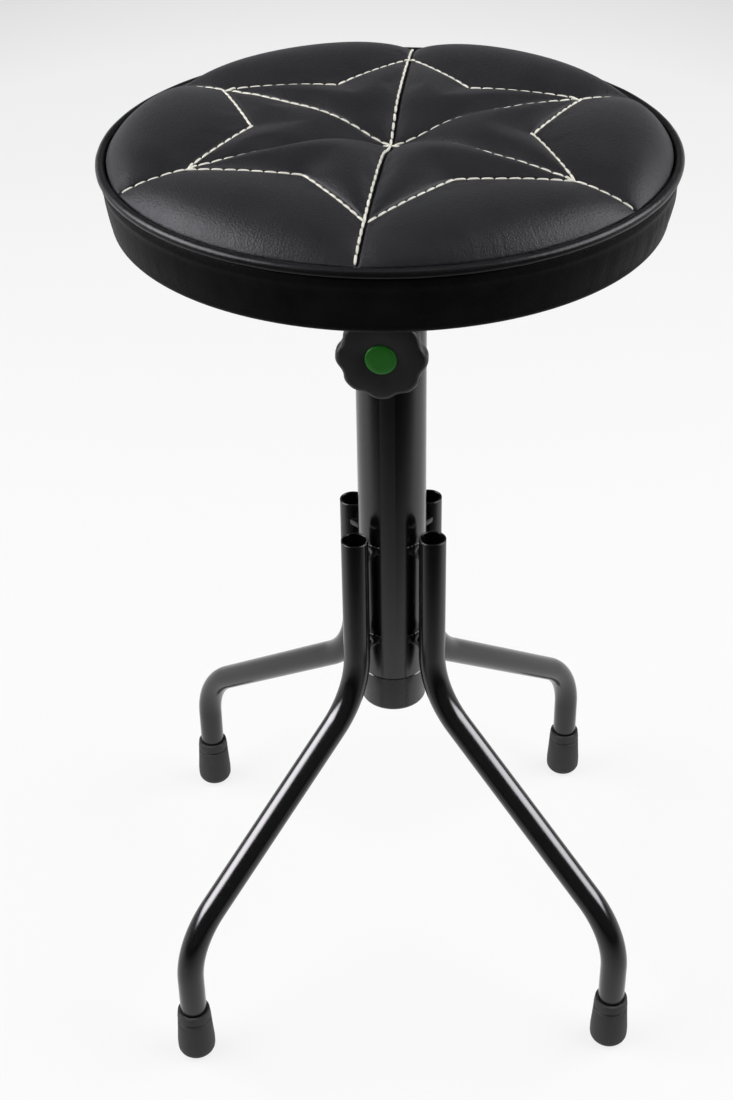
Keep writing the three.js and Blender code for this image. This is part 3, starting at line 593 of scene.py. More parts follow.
class Workpiece:
    """One mesh on the bench, started from a primitive and shaped by operators in edit mode."""

    def __init__(self, piece: bpy.types.Object) -> None:
        """Takes an object on to the bench."""
        self.piece = piece

    @classmethod
    def added(cls, name: str, primitive: Callable[..., set[str]], **settings: Any) -> Workpiece:
        """Adds a primitive with nothing else selected.

        Args:
            name: the piece's name.
            primitive: the operator that adds it.
            settings: the operator's settings.

        Returns:
            The piece, with its place in its mesh.
        """
        bpy.ops.object.select_all(action="DESELECT")
        primitive(**settings)
        made = cls(bpy.context.object)
        made.piece.name = made.piece.data.name = name
        bpy.ops.object.transform_apply(location=True, rotation=True, scale=True)
        return made

    @classmethod
    def drill(cls, radius: float, depth: float, place: Matrix, sides: int = 48) -> Workpiece:
        """Returns a cutter for a round hole."""
        made = cls.added("drill", bpy.ops.mesh.primitive_cylinder_add, vertices=sides, radius=radius, depth=depth)
        return made.placed(place)

    @classmethod
    def drawn(cls, name: str, outline: Sequence[Point]) -> Workpiece:
        """Draws a line by extruding a point.

        Args:
            name: the piece's name.
            outline: radius and height of each corner.

        Returns:
            The line, in edit mode.
        """
        start = (outline[0][0], 0.0, outline[0][1])
        made = cls.added(name, bpy.ops.mesh.primitive_plane_add, size=TINY * 10, location=start).open()
        bpy.ops.mesh.merge(type="CENTER")
        for (radius, height), (next_radius, next_height) in zip(outline, outline[1:]):
            step = (next_radius - radius, 0.0, next_height - height)
            bpy.ops.mesh.extrude_vertices_move(TRANSFORM_OT_translate={"value": step})
        return made

    @classmethod
    def turned(cls, name: str, outline: Sequence[Point], sides: int, closed: bool = True) -> Workpiece:
        """Draws an outline and spins it round the Z axis.

        Args:
            name: the piece's name.
            outline: radius and height of each corner.
            sides: how many faces go round.
            closed: whether the last corner joins the first.

        Returns:
            The turned piece, out of edit mode.
        """
        made = cls.drawn(name, [*outline, outline[0]] if closed else outline).pick_all()
        return made.spin(math.tau, (0.0, 0.0, 0.0), AXIS, sides).finish()

    def open(self) -> Workpiece:
        """Opens the piece in edit mode and returns it."""
        self.select()
        bpy.ops.object.mode_set(mode="EDIT")
        bpy.ops.mesh.select_mode(type=Part.VERTEX.value)
        return self

    def select(self) -> None:
        """Selects the piece alone."""
        bpy.ops.object.select_all(action="DESELECT")
        bpy.context.view_layer.objects.active = self.piece
        self.piece.select_set(True)

    def pick(self, part: Part, test: Callable[[Vector], bool]) -> Workpiece:
        """Selects the elements whose every corner passes a test.

        Args:
            part: the kind of element.
            test: says whether a point counts.

        Returns:
            The piece itself.
        """
        bpy.ops.mesh.select_mode(type=part.value)
        bpy.ops.mesh.select_all(action="DESELECT")
        shape = bmesh.from_edit_mesh(self.piece.data)
        for element in shape.verts if part is Part.VERTEX else shape.edges:
            corners = [element] if part is Part.VERTEX else element.verts
            if all(test(corner.co) for corner in corners):
                element.select_set(True)
        bmesh.update_edit_mesh(self.piece.data)
        return self

    def pick_all(self) -> Workpiece:
        """Selects everything."""
        bpy.ops.mesh.select_all(action="SELECT")
        return self

    def extrude(self, move: Sequence[float]) -> Workpiece:
        """Extrudes what is selected and moves the new end."""
        bpy.ops.mesh.extrude_region_move(TRANSFORM_OT_translate={"value": tuple(move)})
        return self

    def spin(self, angle: float, centre: Sequence[float], axis: Sequence[float], steps: int) -> Workpiece:
        """Extrudes what is selected along an arc; a positive angle turns clockwise about the axis."""
        bpy.ops.mesh.spin(steps=steps, angle=angle, center=tuple(centre), axis=tuple(axis))
        return self

    def resize(self, scale: Sequence[float]) -> Workpiece:
        """Scales what is selected about the origin."""
        bpy.ops.transform.resize(value=tuple(scale), center_override=(0.0, 0.0, 0.0))
        return self

    def move(self, step: Sequence[float]) -> Workpiece:
        """Moves what is selected."""
        bpy.ops.transform.translate(value=tuple(step))
        return self

    def finish(self, outwards: bool = True) -> Workpiece:
        """Merges doubles, turns the normals outwards and leaves edit mode.

        Args:
            outwards: whether the normals are worked out anew.

        Returns:
            The piece itself.
        """
        self.pick_all()
        bpy.ops.mesh.remove_doubles(threshold=TINY)
        if outwards:
            bpy.ops.mesh.normals_make_consistent(inside=False)
        bpy.ops.object.mode_set(mode="OBJECT")
        return self

    def modify(self, kind: str, **settings: Any) -> Workpiece:
        """Adds a modifier and applies it.

        Args:
            kind: the modifier's type.
            settings: the modifier's settings.

        Returns:
            The piece itself.
        """
        added = self.piece.modifiers.new(kind.title(), kind)
        for name, value in settings.items():
            setattr(added, name, value)
        return self.apply(added)

    def apply(self, added: bpy.types.Modifier) -> Workpiece:
        """Applies a modifier.

        Args:
            added: the modifier.

        Returns:
            The piece itself.
        """
        bpy.context.view_layer.objects.active = self.piece
        bpy.ops.object.modifier_apply(modifier=added.name)
        return self

    def eased(self, width: float, segments: int = 3, from_degrees: float = 30.0) -> Workpiece:
        """Rounds every edge that is sharper than an angle."""
        sharp = {"limit_method": "ANGLE", "angle_limit": math.radians(from_degrees)}
        return self.modify("BEVEL", width=width, segments=segments, **sharp)

    def minus(self, cutter: Workpiece) -> Workpiece:
        """Cuts a piece away and removes the cutter.

        Args:
            cutter: what is cut away.

        Returns:
            The piece itself.
        """
        self.modify("BOOLEAN", operation="DIFFERENCE", solver="EXACT", object=cutter.piece)
        cutter.scrap()
        return self

    def placed(self, place: Matrix) -> Workpiece:
        """Moves the mesh by a matrix, with its object left at the origin."""
        self.piece.data.transform(place)
        return self

    def smooth(self, degrees: float = 35.0) -> Workpiece:
        """Shades the piece smooth.

        Args:
            degrees: the angle from which an edge stays sharp.

        Returns:
            The piece itself.
        """
        self.select()
        bpy.ops.object.shade_smooth_by_angle(angle=math.radians(degrees))
        return self

    def copied(self, name: str, place: Matrix) -> bpy.types.Object:
        """Copies the piece, with a mesh of its own.

        Args:
            name: the copy's name.
            place: the matrix that moves its mesh.

        Returns:
            The copy.
        """
        copy = self.piece.copy()
        copy.data = self.piece.data.copy()
        copy.name = copy.data.name = name
        copy.data.transform(place)
        bpy.context.scene.collection.objects.link(copy)
        return copy

    def scrap(self) -> None:
        """Takes the piece off the bench and out of the scene."""
        bpy.data.objects.remove(self.piece)


def install(piece: bpy.types.Object, body: Body, finish: Finish, *nodes: str) -> bpy.types.Object:
    """Dresses a piece, lets it ride on its body and hides the nodes that it stands for.

    Args:
        piece: the finished piece.
        body: the body that it moves with.
        finish: its finish.
        nodes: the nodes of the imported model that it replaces.

    Returns:
        The piece.
    """
    finish.lay_on(piece)
    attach(piece, body.value)
    if nodes:
        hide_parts(*nodes)
    log.info("%s: %d faces on %s", piece.name, len(piece.data.polygons), body.value)
    return piece


def repeat(pattern: Workpiece, body: Body, finish: Finish, copies: Iterable[tuple[str, Matrix, list[str]]]) -> None:
    """Installs copies of a pattern and removes the pattern.

    Args:
        pattern: the piece that repeats.
        body: the body that the copies move with.
        finish: their finish.
        copies: each copy's name, its place and the nodes that it replaces.
    """
    for name, place, nodes in copies:
        install(pattern.copied(name, place), body, finish, *nodes)
    pattern.scrap()


def linked(data: bpy.types.ID) -> bpy.types.Object:
    """Puts data in the scene.

    Args:
        data: a mesh, a lamp or a camera.

    Returns:
        Its object, of the same name.
    """
    made = bpy.data.objects.new(data.name, data)
    bpy.context.scene.collection.objects.link(made)
    return made


def mesh_piece(name: str, points: Sequence[Vector], faces: Sequence[Sequence[int]]) -> Workpiece:
    """Makes a smooth-shaded piece of points and faces.

    Args:
        name: the piece's name.
        points: its points.
        faces: the points of each face.

    Returns:
        The piece.
    """
    data = bpy.data.meshes.new(name)
    data.from_pydata([tuple(point) for point in points], [], [tuple(face) for face in faces])
    data.validate()
    data.shade_smooth()
    return Workpiece(linked(data))


def ring_faces(rows: int, count: int, closed_rows: bool = False) -> list[tuple[int, ...]]:
    """Lays quads between neighbouring rings of points.

    Args:
        rows: how many rings there are.
        count: how many points each ring has.
        closed_rows: whether the last ring joins the first.

    Returns:
        The points of each quad.
    """
    faces = []
    for row in range(rows if closed_rows else rows - 1):
        here, there = row * count, (row + 1) % rows * count
        for i in range(count):
            after = (i + 1) % count
            faces.append((here + i, here + after, there + after, there + i))
    return faces


def polar(radius: float, turn: float, height: float) -> Vector:
    """Returns the point at a radius and a turn from the front, seen from above."""
    return Vector((radius * math.sin(turn), -radius * math.cos(turn), height))


def turn_of(point: Vector) -> float:
    """Returns a point's turn from the front, seen from above."""
    return math.atan2(point.x, -point.y)


def turned_by(angle: float) -> Matrix:
    """Returns a turn about the Z axis."""
    return Matrix.Rotation(angle, 4, "Z")


def moved_by(x: float, y: float, z: float) -> Matrix:
    """Returns a move."""
    return Matrix.Translation((x, y, z))


def quarter(steps: int) -> list[float]:
    """Returns angles in even steps from 0 to a right angle."""
    return [math.pi / 2 * step / steps for step in range(steps + 1)]


def rounded_foot(radius: float, base: float, rounding: float, steps: int) -> list[Point]:
    """Returns the outline of a turned piece's rounded lower edge, from its base outwards and up."""
    return [(radius - rounding * (1 - math.sin(a)), base + rounding * (1 - math.cos(a))) for a in quarter(steps)]


def span(node: str) -> tuple[float, float]:
    """Returns a node's lowest and highest height."""
    low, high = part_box(node)
    return low.z, high.z


def middle_height(node: str) -> float:
    """Returns the height of a node's middle."""
    return sum(span(node)) / 2


def outer_radius(node: str) -> float:
    """Returns the outer radius of a node that lies round the Z axis."""
    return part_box(node)[1].x


@dataclass
class BentLegs:
    """Four legs, each one bent tube with open ends and rounded lips."""

    tube_radius: float = 0.010
    wall: float = 0.0015
    slope: float = math.radians(35.7)
    bend_radius: float = 0.066
    knee_height: float = 0.111
    spread_radius: float = 0.2265
    gap_to_column: float = 0.005
    lip: float = 0.0004
    sides: int = 48
    bend_steps: int = 20

    def build(self) -> None:
        """Builds the tube once and copies it to each corner."""
        legs = {corner: f"leg_{corner.label}" for corner in Corner}
        copies = ((f"{name}_tube", corner.turn, [name]) for corner, name in legs.items())
        repeat(self.tube(), Body.BASE, PAINT, copies)

    @classmethod
    def axis(cls) -> float:
        """Returns the distance between the column's axis and that of a leg's upright run beside it."""
        return outer_radius("column_tube") + cls.gap_to_column + cls.tube_radius

    def tube(self) -> Workpiece:
        """Returns the leg that points to the front: run up, bend in, run up the slope, bend upright, run up."""
        low, high = span("leg_front_left")
        turn = math.pi / 2 - self.slope
        tangent = self.bend_radius * math.tan(turn / 2)
        inward = self.spread_radius - self.axis()
        rise = inward * math.tan(self.slope)
        run = math.hypot(inward, rise) - 2 * tangent
        first_bend = self.knee_height - tangent
        second_bend = self.knee_height + rise + tangent
        foot = (0.0, -self.spread_radius, low)
        circle = {"vertices": self.sides, "radius": self.tube_radius, "location": foot}
        made = Workpiece.added("leg", bpy.ops.mesh.primitive_circle_add, **circle).open()
        across = (1.0, 0.0, 0.0)
        made.extrude((0.0, 0.0, first_bend - low))
        made.spin(turn, (0.0, self.bend_radius - self.spread_radius, first_bend), across, self.bend_steps)
        made.extrude((0.0, run * math.cos(self.slope), run * math.sin(self.slope)))
        made.spin(-turn, (0.0, -self.axis() - self.bend_radius, second_bend), across, self.bend_steps)
        made.extrude((0.0, 0.0, high - second_bend))
        made.finish(outwards=False)
        self.face_outwards(made, Vector(foot))
        made.modify("SOLIDIFY", thickness=self.wall, offset=-1.0)
        return made.eased(self.lip, from_degrees=60.0).smooth()

    def face_outwards(self, tube: Workpiece, foot: Vector) -> None:
        """Flips the tube's faces if the lowest ones point at its axis.

        Args:
            tube: the bent tube.
            foot: the middle of its lower end.
        """
        lowest = min(tube.piece.data.polygons, key=lambda face: face.center.z)
        if lowest.normal.dot(lowest.center - foot) < 0:
            tube.piece.data.flip_normals()


@dataclass
class RubberFeet:
    """Four rubber ferrules: a rounded sole, a belly, a groove and a flared collar round the tube."""

    sole: float = 0.009
    wall: float = 0.0019
    shoulder_radius: float = 0.013
    shoulder_share: float = 0.45
    collar_height: float = 0.007
    collar_flare: float = 0.0008
    groove_width: float = 0.0026
    groove_depth: float = 0.0019
    groove_slopes: Point = (0.2, 0.1)
    lip: float = 0.0025
    edge_radius: float = 0.0075
    edge_steps: int = 6
    belly_height: float = 0.014
    clearance: float = 0.0003
    easing: float = 0.0004
    sides: int = 64

    def build(self) -> None:
        """Builds the ferrule once and copies it to each leg."""
        names = [f"foot_{corner.label}" for corner in Corner]
        repeat(self.ferrule(), Body.BASE, RUBBER, ((f"{name}_ferrule", self.spot(name), [name]) for name in names))

    @staticmethod
    def spot(name: str) -> Matrix:
        """Returns the move from the origin to a foot's place."""
        low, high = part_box(name)
        return moved_by((low.x + high.x) / 2, (low.y + high.y) / 2, 0.0)

    def ferrule(self) -> Workpiece:
        """Returns a foot that stands at the origin."""
        low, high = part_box("foot_front_left")
        belly, top = (high.x - low.x) / 2, high.z
        bore = BentLegs.tube_radius + self.clearance
        collar = bore + self.wall
        collar_bottom = top - self.collar_height
        groove_bottom = collar_bottom - self.groove_width
        shoulder = self.shoulder_radius
        below, above = (self.groove_width * share for share in self.groove_slopes)
        outline = [
            (0.0, 0.0),
            *rounded_foot(belly, 0.0, self.edge_radius, self.edge_steps),
            (belly, self.belly_height),
            (shoulder + (belly - shoulder) * self.shoulder_share, (self.belly_height + groove_bottom) / 2),
            (shoulder, groove_bottom),
            (shoulder - self.groove_depth, groove_bottom + below),
            (shoulder - self.groove_depth, collar_bottom - above),
            (collar + self.collar_flare, collar_bottom),
            (collar, top),
            (BentLegs.tube_radius, top),
            (bore, top - self.lip),
            (bore, self.sole),
            (0.0, self.sole),
        ]
        return Workpiece.turned("foot", outline, self.sides).eased(self.easing, 3, 20.0).smooth(50.0)


@dataclass
class Column:
    """The upright tube with its guide bush, end cap, clamp boss and the saddles that carry it between the legs."""

    wall: float = 0.002
    easing: float = 0.0006
    clearance: float = 0.0003
    bush_length: float = 0.045
    cap_wall: float = 0.0022
    cap_floor: float = 0.003
    cap_edge: float = 0.003
    cap_steps: int = 8
    boss_radius: float = 0.010
    boss_easing: float = 0.0008
    boss_sides: int = 64
    stud_hole: float = 0.0053
    saddle_width: float = 0.018
    saddle_steps: int = 16
    saddle_easing: float = 0.0004
    bead: float = 0.0009
    bead_sides: int = 10
    bead_steps: int = 18
    bead_ripple: float = 0.12
    bead_ripples: int = 6
    leg_bead_share: float = 0.9
    sides: int = 128
    levels: tuple[str, ...] = ("upper", "lower")

    def build(self) -> None:
        """Builds the column's pieces."""
        install(self.tube(), Body.BASE, PAINT, "column_tube")
        install(self.bush(), Body.BASE, BLACK_PLASTIC, "column_bush")
        install(self.end_cap(), Body.BASE, CAP_PLASTIC, "column_end_cap")
        install(self.boss(), Body.BASE, PAINT, "clamp_boss")
        saddle, beads = self.saddle(), self.saddle_beads()
        spacers = {f"spacer_{level}_{corner.label}": corner for level in self.levels for corner in Corner}
        for name, corner in spacers.items():
            place = moved_by(0.0, 0.0, middle_height(name)) @ corner.turn
            install(saddle.copied(f"{name}_saddle", place), Body.BASE, PAINT, name)
            install(beads.copied(f"{name}_weld", place), Body.BASE, PAINT)
        saddle.scrap()
        beads.scrap()

    def clamp_drill(self) -> Workpiece:
        """Returns a cutter for the side hole that the clamp's stud goes through."""
        reach = outer_radius("column_tube") * 2
        place = HandClamp.place(middle_height("clamp_stud"))
        return Workpiece.drill(self.stud_hole, reach, place @ moved_by(0.0, 0.0, reach / 2))

    def tube(self) -> bpy.types.Object:
        """Returns the column's tube, with its edges eased."""
        radius = outer_radius("column_tube")
        bore = radius - self.wall
        low, high = span("column_tube")
        made = Workpiece.turned("column", [(bore, low), (radius, low), (radius, high), (bore, high)], self.sides)
        return made.eased(self.easing).minus(self.clamp_drill()).smooth().piece

    def bush(self) -> bpy.types.Object:
        """Returns the guide bush, with its rim on the column's mouth."""
        radius, high = outer_radius("column_tube"), span("column_bush")[1]
        seat = span("column_tube")[1] + self.clearance
        low = seat - self.bush_length
        outer = radius - self.wall - self.clearance
        inner = outer_radius("post_tube") + self.clearance
        outline = [(inner, low), (outer, low), (outer, seat), (radius, seat), (radius, high), (inner, high)]
        made = Workpiece.turned("column_guide", outline, self.sides)
        return made.eased(self.easing).minus(self.clamp_drill()).smooth().piece

    def end_cap(self) -> bpy.types.Object:
        """Returns the cup under the column, with a rounded lower edge."""
        radius = outer_radius("column_tube")
        low, high = span("column_end_cap")
        spigot = radius - self.wall - self.clearance
        skirt_top = span("column_tube")[0] - self.clearance
        outline = [
            (0.0, low),
            *rounded_foot(radius, low, self.cap_edge, self.cap_steps),
            (radius, skirt_top - self.easing),
            (radius - self.easing, skirt_top),
            (spigot, skirt_top),
            (spigot, high),
            (spigot - self.cap_wall, high),
            (spigot - self.cap_wall, low + self.cap_floor),
            (0.0, low + self.cap_floor),
        ]
        return Workpiece.turned("column_cap", outline, self.sides).smooth().piece

    def boss(self) -> bpy.types.Object:
        """Returns the clamp's boss, hollowed to sit on the column, with its outer edge eased."""
        height, radius = middle_height("clamp_boss"), outer_radius("column_tube")
        hole, outer = self.stud_hole, self.boss_radius
        start, end = radius - outer / 2, HandClamp.boss_end
        made = Workpiece.turned("boss", [(hole, start), (outer, start), (outer, end), (hole, end)], self.boss_sides)
        made.eased(self.boss_easing).placed(HandClamp.place(height))
        hollow = Workpiece.drill(radius + self.clearance, outer * 10, moved_by(0.0, 0.0, height), self.sides)
        return made.minus(hollow).smooth().piece

    def saddle(self) -> Workpiece:
        """Returns the plate between column and leg: a grid whose two ends are drawn on to both tubes, thickened."""
        low, high = span("spacer_upper_front_left")
        column, leg = outer_radius("column_tube") + self.clearance, BentLegs.tube_radius + self.clearance
        middle, half = column + BentLegs.gap_to_column / 2, self.saddle_width / 2
        grid = {"x_subdivisions": self.saddle_steps, "y_subdivisions": 1, "size": self.saddle_width}
        made = Workpiece.added("saddle", bpy.ops.mesh.primitive_grid_add, **grid, location=(0.0, -middle, 0.0)).open()
        for step in range(self.saddle_steps + 1):
            across = self.saddle_width * (step / self.saddle_steps - 0.5)
            near = -math.sqrt(column**2 - across**2)
            far = -BentLegs.axis() + math.sqrt(leg**2 - across**2)
            for edge, row in ((near, half - middle), (far, -half - middle)):
                made.pick(Part.VERTEX, lambda p, x=across, y=row: abs(p.x - x) < TINY and abs(p.y - y) < TINY)
                made.move((0.0, edge - row, 0.0))
        made.pick_all().move((0.0, 0.0, (low - high) / 2))
        return made.extrude((0.0, 0.0, high - low)).finish().eased(self.saddle_easing, 2, 50.0).smooth()

    def saddle_beads(self) -> Workpiece:
        """Returns the weld beads that run along both ends of a saddle, above and below it."""
        low, high = span("spacer_upper_front_left")
        column, leg = outer_radius("column_tube"), BentLegs.tube_radius
        column_reach = math.asin(self.saddle_width / 2 / column)
        leg_reach = math.asin(self.saddle_width / 2 / leg) * self.leg_bead_share
        parts = []
        for height in ((high - low) / 2, (low - high) / 2):
            parts.append(self.bead_arc(Vector((0.0, 0.0, height)), column, column_reach, -1.0))
            parts.append(self.bead_arc(Vector((0.0, -BentLegs.axis(), height)), leg, leg_reach, 1.0))
        parts[0].select()
        for part in parts:
            part.piece.select_set(True)
        bpy.ops.object.join()
        return parts[0].smooth(60.0)

    def bead_arc(self, centre: Vector, radius: float, reach: float, side: float) -> Workpiece:
        """Lays one bead: a small round section spun along an arc, rippled as a weld is laid, with closed ends.

        Args:
            centre: the arc's centre.
            radius: the radius of the tube that it lies on.
            reach: half the arc's angle.
            side: which way the arc lies from its centre along Y.

        Returns:
            The bead.
        """
        start = centre + Vector((0.0, side * radius, 0.0))
        circle = {"vertices": self.bead_sides, "radius": self.bead, "fill_type": "NGON"}
        upright = (0.0, math.pi / 2, 0.0)
        made = Workpiece.added("bead", bpy.ops.mesh.primitive_circle_add, **circle, location=start, rotation=upright)
        made.open().pick_all().spin(2 * reach, centre, AXIS, self.bead_steps).finish()
        made.placed(Matrix.Translation(centre) @ turned_by(reach) @ Matrix.Translation(-centre))
        for vertex in made.piece.data.vertices:
            arm = vertex.co - centre
            angle = math.atan2(arm.x, side * arm.y)
            ripple = 1.0 + self.bead_ripple * math.cos(angle / reach * math.pi * self.bead_ripples)
            spine = centre + Vector((arm.x, arm.y, 0.0)).normalized() * radius
            vertex.co = spine + (vertex.co - spine) * ripple
        return made


@dataclass(frozen=True)
class Loop:
    """A ring of edges round the Z axis: its height, and the least and largest radius of its points."""

    height: float
    least: float
    most: float

    def holds(self, point: Vector) -> bool:
        """Says whether a point lies on the loop."""
        return abs(point.z - self.height) < TINY and self.least < math.hypot(point.x, point.y) < self.most


@dataclass
class HandClamp:
    """The hand screw: a lobed knob with a coloured cap, on a threaded stud that presses a pad."""

    boss_end: ClassVar[float] = 0.035
    lobes: int = 8
    lobe_steps: int = 16
    lobe_depth: float = 0.0024
    lobe_fullness: float = 1.6
    loop_margin: float = 1.5
    rim_margin: float = 1.2
    knob_radius: float = 0.031
    standoff: float = 0.0015
    hub_radius: float = 0.014
    hub_length: float = 0.004
    thickness: float = 0.012
    edge_radius: float = 0.0035
    edge_steps: int = 7
    easing: float = 0.0004
    cap_radius: float = 0.0108
    cap_seat: float = 0.002
    cap_dome: float = 0.0018
    cap_fullness: float = 0.45
    cap_steps: int = 12
    cap_sides: int = 64
    stud_radius: float = 0.005
    stud_hold: float = 0.0115
    pitch: float = 0.0015
    thread_depth: float = 0.6
    thread_crest: Point = (0.45, 0.55)
    thread_steps: int = 40
    clearance: float = 0.0003

    def __post_init__(self) -> None:
        """Works out how far out the knob's back and face lie."""
        self.back = self.boss_end + self.standoff
        self.face = self.back + self.hub_length + self.thickness

    @staticmethod
    def place(height: float) -> Matrix:
        """Returns the move from a piece made along Z to one that points outwards at the clamp."""
        return moved_by(0.0, 0.0, height) @ (turned_by(CLAMP_TURN) @ Matrix.Rotation(math.pi / 2, 4, "X"))

    def build(self) -> None:
        """Builds the clamp's pieces."""
        place = self.place(middle_height("clamp_stud"))
        install(self.knob().placed(place).piece, Body.KNOB, KNOB_PLASTIC, "clamp_knob")
        install(self.cap().placed(place).piece, Body.KNOB, GREEN_PLASTIC, "knob_cap")
        install(self.stud().placed(place).piece, Body.KNOB, ZINC, "clamp_stud")
        BRASS.lay_on_nodes("clamp_pad")

    def knob(self) -> Workpiece:
        """Returns the knob: a lobed wall drawn from a circle, bridged to its hub, bore and cap pocket."""
        lobes_back = self.back + self.hub_length
        bore, pocket = self.stud_radius + self.clearance, self.cap_radius + self.clearance
        circle = {"vertices": self.lobes * self.lobe_steps}
        start = {"radius": self.knob_radius, "location": (0.0, 0.0, lobes_back)}
        made = Workpiece.added("knob", bpy.ops.mesh.primitive_circle_add, **circle, **start).open()
        self.draw_lobes(made)
        made.pick_all().extrude((0.0, 0.0, self.thickness))
        hollows = self.knob_radius - self.lobe_depth * self.loop_margin
        inwards = {
            self.face: [(pocket, self.face), (pocket, self.face - self.cap_seat)],
            lobes_back: [
                (self.hub_radius, lobes_back), (self.hub_radius, self.back), (bore, self.back),
                (bore, self.back + self.stud_hold + self.clearance),
            ],
        }
        chains = []
        for rim, rings in inwards.items():
            chains.append([Loop(rim, hollows, self.knob_radius + TINY)])
            for radius, height in rings:
                bpy.ops.mesh.select_all(action="DESELECT")
                bpy.ops.mesh.primitive_circle_add(**circle, radius=radius, location=(0.0, 0.0, height))
                chains[-1].append(Loop(height, radius - TINY * 10, radius + TINY * 10))
        for chain in chains:
            for first, second in zip(chain, chain[1:]):
                made.pick(Part.EDGE, lambda p, a=first, b=second: a.holds(p) or b.holds(p))
                bpy.ops.mesh.bridge_edge_loops()
        for chain in chains:
            made.pick(Part.EDGE, chain[-1].holds)
            bpy.ops.mesh.edge_face_add()
        made.finish()
        self.round_rims(made, (lobes_back, self.face))
        return made.eased(self.easing, 2, 60.0).smooth(40.0)

    def draw_lobes(self, made: Workpiece) -> None:
        """Pulls the circle in between the lobes, one phase of the wave at a time.

        Args:
            made: the circle, in edit mode.
        """
        for phase in range(1, self.lobe_steps):
            hollow = ((1.0 - math.cos(math.tau * phase / self.lobe_steps)) / 2.0) ** self.lobe_fullness
            scale = 1.0 - self.lobe_depth * hollow / self.knob_radius
            made.pick(Part.VERTEX, lambda point, wanted=phase: self.phase(point) == wanted).resize((scale, scale, 1.0))

    def phase(self, point: Vector) -> int | None:
        """Returns the phase of a point of the circle, or None once it has been pulled in."""
        if abs(math.hypot(point.x, point.y) - self.knob_radius) >= TINY * 10:
            return None
        return round(math.atan2(point.x, point.y) / math.tau * self.lobes * self.lobe_steps) % self.lobe_steps

    def round_rims(self, made: Workpiece, heights: Point) -> None:
        """Bevels the rims of the lobed wall to a large round.

        Args:
            made: the knob.
            heights: the heights of its two rims.
        """
        loops = [Loop(height, self.knob_radius - self.lobe_depth * self.rim_margin, math.inf) for height in heights]
        made.open().pick(Part.EDGE, lambda point: any(loop.holds(point) for loop in loops))
        bpy.ops.mesh.bevel(offset=self.edge_radius, segments=self.edge_steps, affect="EDGES")
        bpy.ops.object.mode_set(mode="OBJECT")

    def cap(self) -> Workpiece:
        """Returns the cap: a short stem that swells into a low dome with a soft edge."""
        low = self.face - self.cap_seat + self.clearance
        dome = [
            (self.cap_radius * math.cos(angle) ** self.cap_fullness, self.face + self.cap_dome * math.sin(angle))
            for angle in quarter(self.cap_steps)[:-1]
        ]
        outline = [(0.0, low), (self.cap_radius, low), *dome, (0.0, self.face + self.cap_dome)]
        return Workpiece.turned("cap", outline, self.cap_sides).smooth(50.0)

    def stud(self) -> Workpiece:
        """Returns the stud: a zigzag of one pitch wound up by a screw modifier, with its ends closed."""
        end = self.back + self.stud_hold
        turns = int((end - outer_radius("column_tube") - self.clearance) / self.pitch)
        low = end - turns * self.pitch
        root = self.stud_radius - self.pitch * self.thread_depth
        crest = [(self.stud_radius, low + self.pitch * share) for share in self.thread_crest]
        made = Workpiece.drawn("stud", [(root, low), *crest, (root, low + self.pitch)])
        bpy.ops.object.mode_set(mode="OBJECT")
        winding = {"angle": math.tau, "screw_offset": self.pitch, "iterations": turns, "axis": "Z"}
        made.modify("SCREW", **winding, steps=self.thread_steps, render_steps=self.thread_steps)
        made.open().pick_all()
        bpy.ops.mesh.remove_doubles(threshold=TINY * 20)
        bpy.ops.mesh.fill_holes(sides=0)
        return made.finish().smooth(50.0)


@dataclass
class Post:
    """The sliding post and what shows in its head."""

    wall: float = 0.002
    easing: float = 0.0005
    clearance: float = 0.0003
    sides: int = 128

    def build(self) -> None:
        """Builds the post's pieces and dresses the hidden ones."""
        radius, (low, high) = outer_radius("post_tube"), span("post_tube")
        self.install_ring("post", "post_tube", CHROME, self.tube_outline("post_tube", radius - self.wall))
        plug, top = radius - self.wall - self.clearance, high + self.clearance
        bore, (low, high) = outer_radius("swivel_bush_lower"), span("swivel_housing")
        rim = outer_radius("swivel_housing")
        head = [(bore, low), (plug, low), (plug, top), (rim, top), (rim, high), (bore, high)]
        self.install_ring("post_head", "swivel_housing", ZINC, head)
        washer = self.tube_outline("thrust_washer", SeatMount.axle_hole)
        self.install_ring("thrust_ring", "thrust_washer", ACETAL, washer)
        ACETAL.lay_on_nodes("post_glide")
        BRASS.lay_on_nodes("swivel_bush_upper", "swivel_bush_lower")

    @staticmethod
    def tube_outline(node: str, bore: float) -> list[Point]:
        """Returns the outline of a tube with a node's height and outer radius."""
        radius, (low, high) = outer_radius(node), span(node)
        return [(bore, low), (radius, low), (radius, high), (bore, high)]

    def install_ring(self, name: str, node: str, finish: Finish, outline: list[Point]) -> None:
        """Turns a piece of the post with eased edges, and installs it."""
        made = Workpiece.turned(name, outline, self.sides).eased(self.easing, 2).smooth()
        install(made.piece, Body.POST, finish, node)


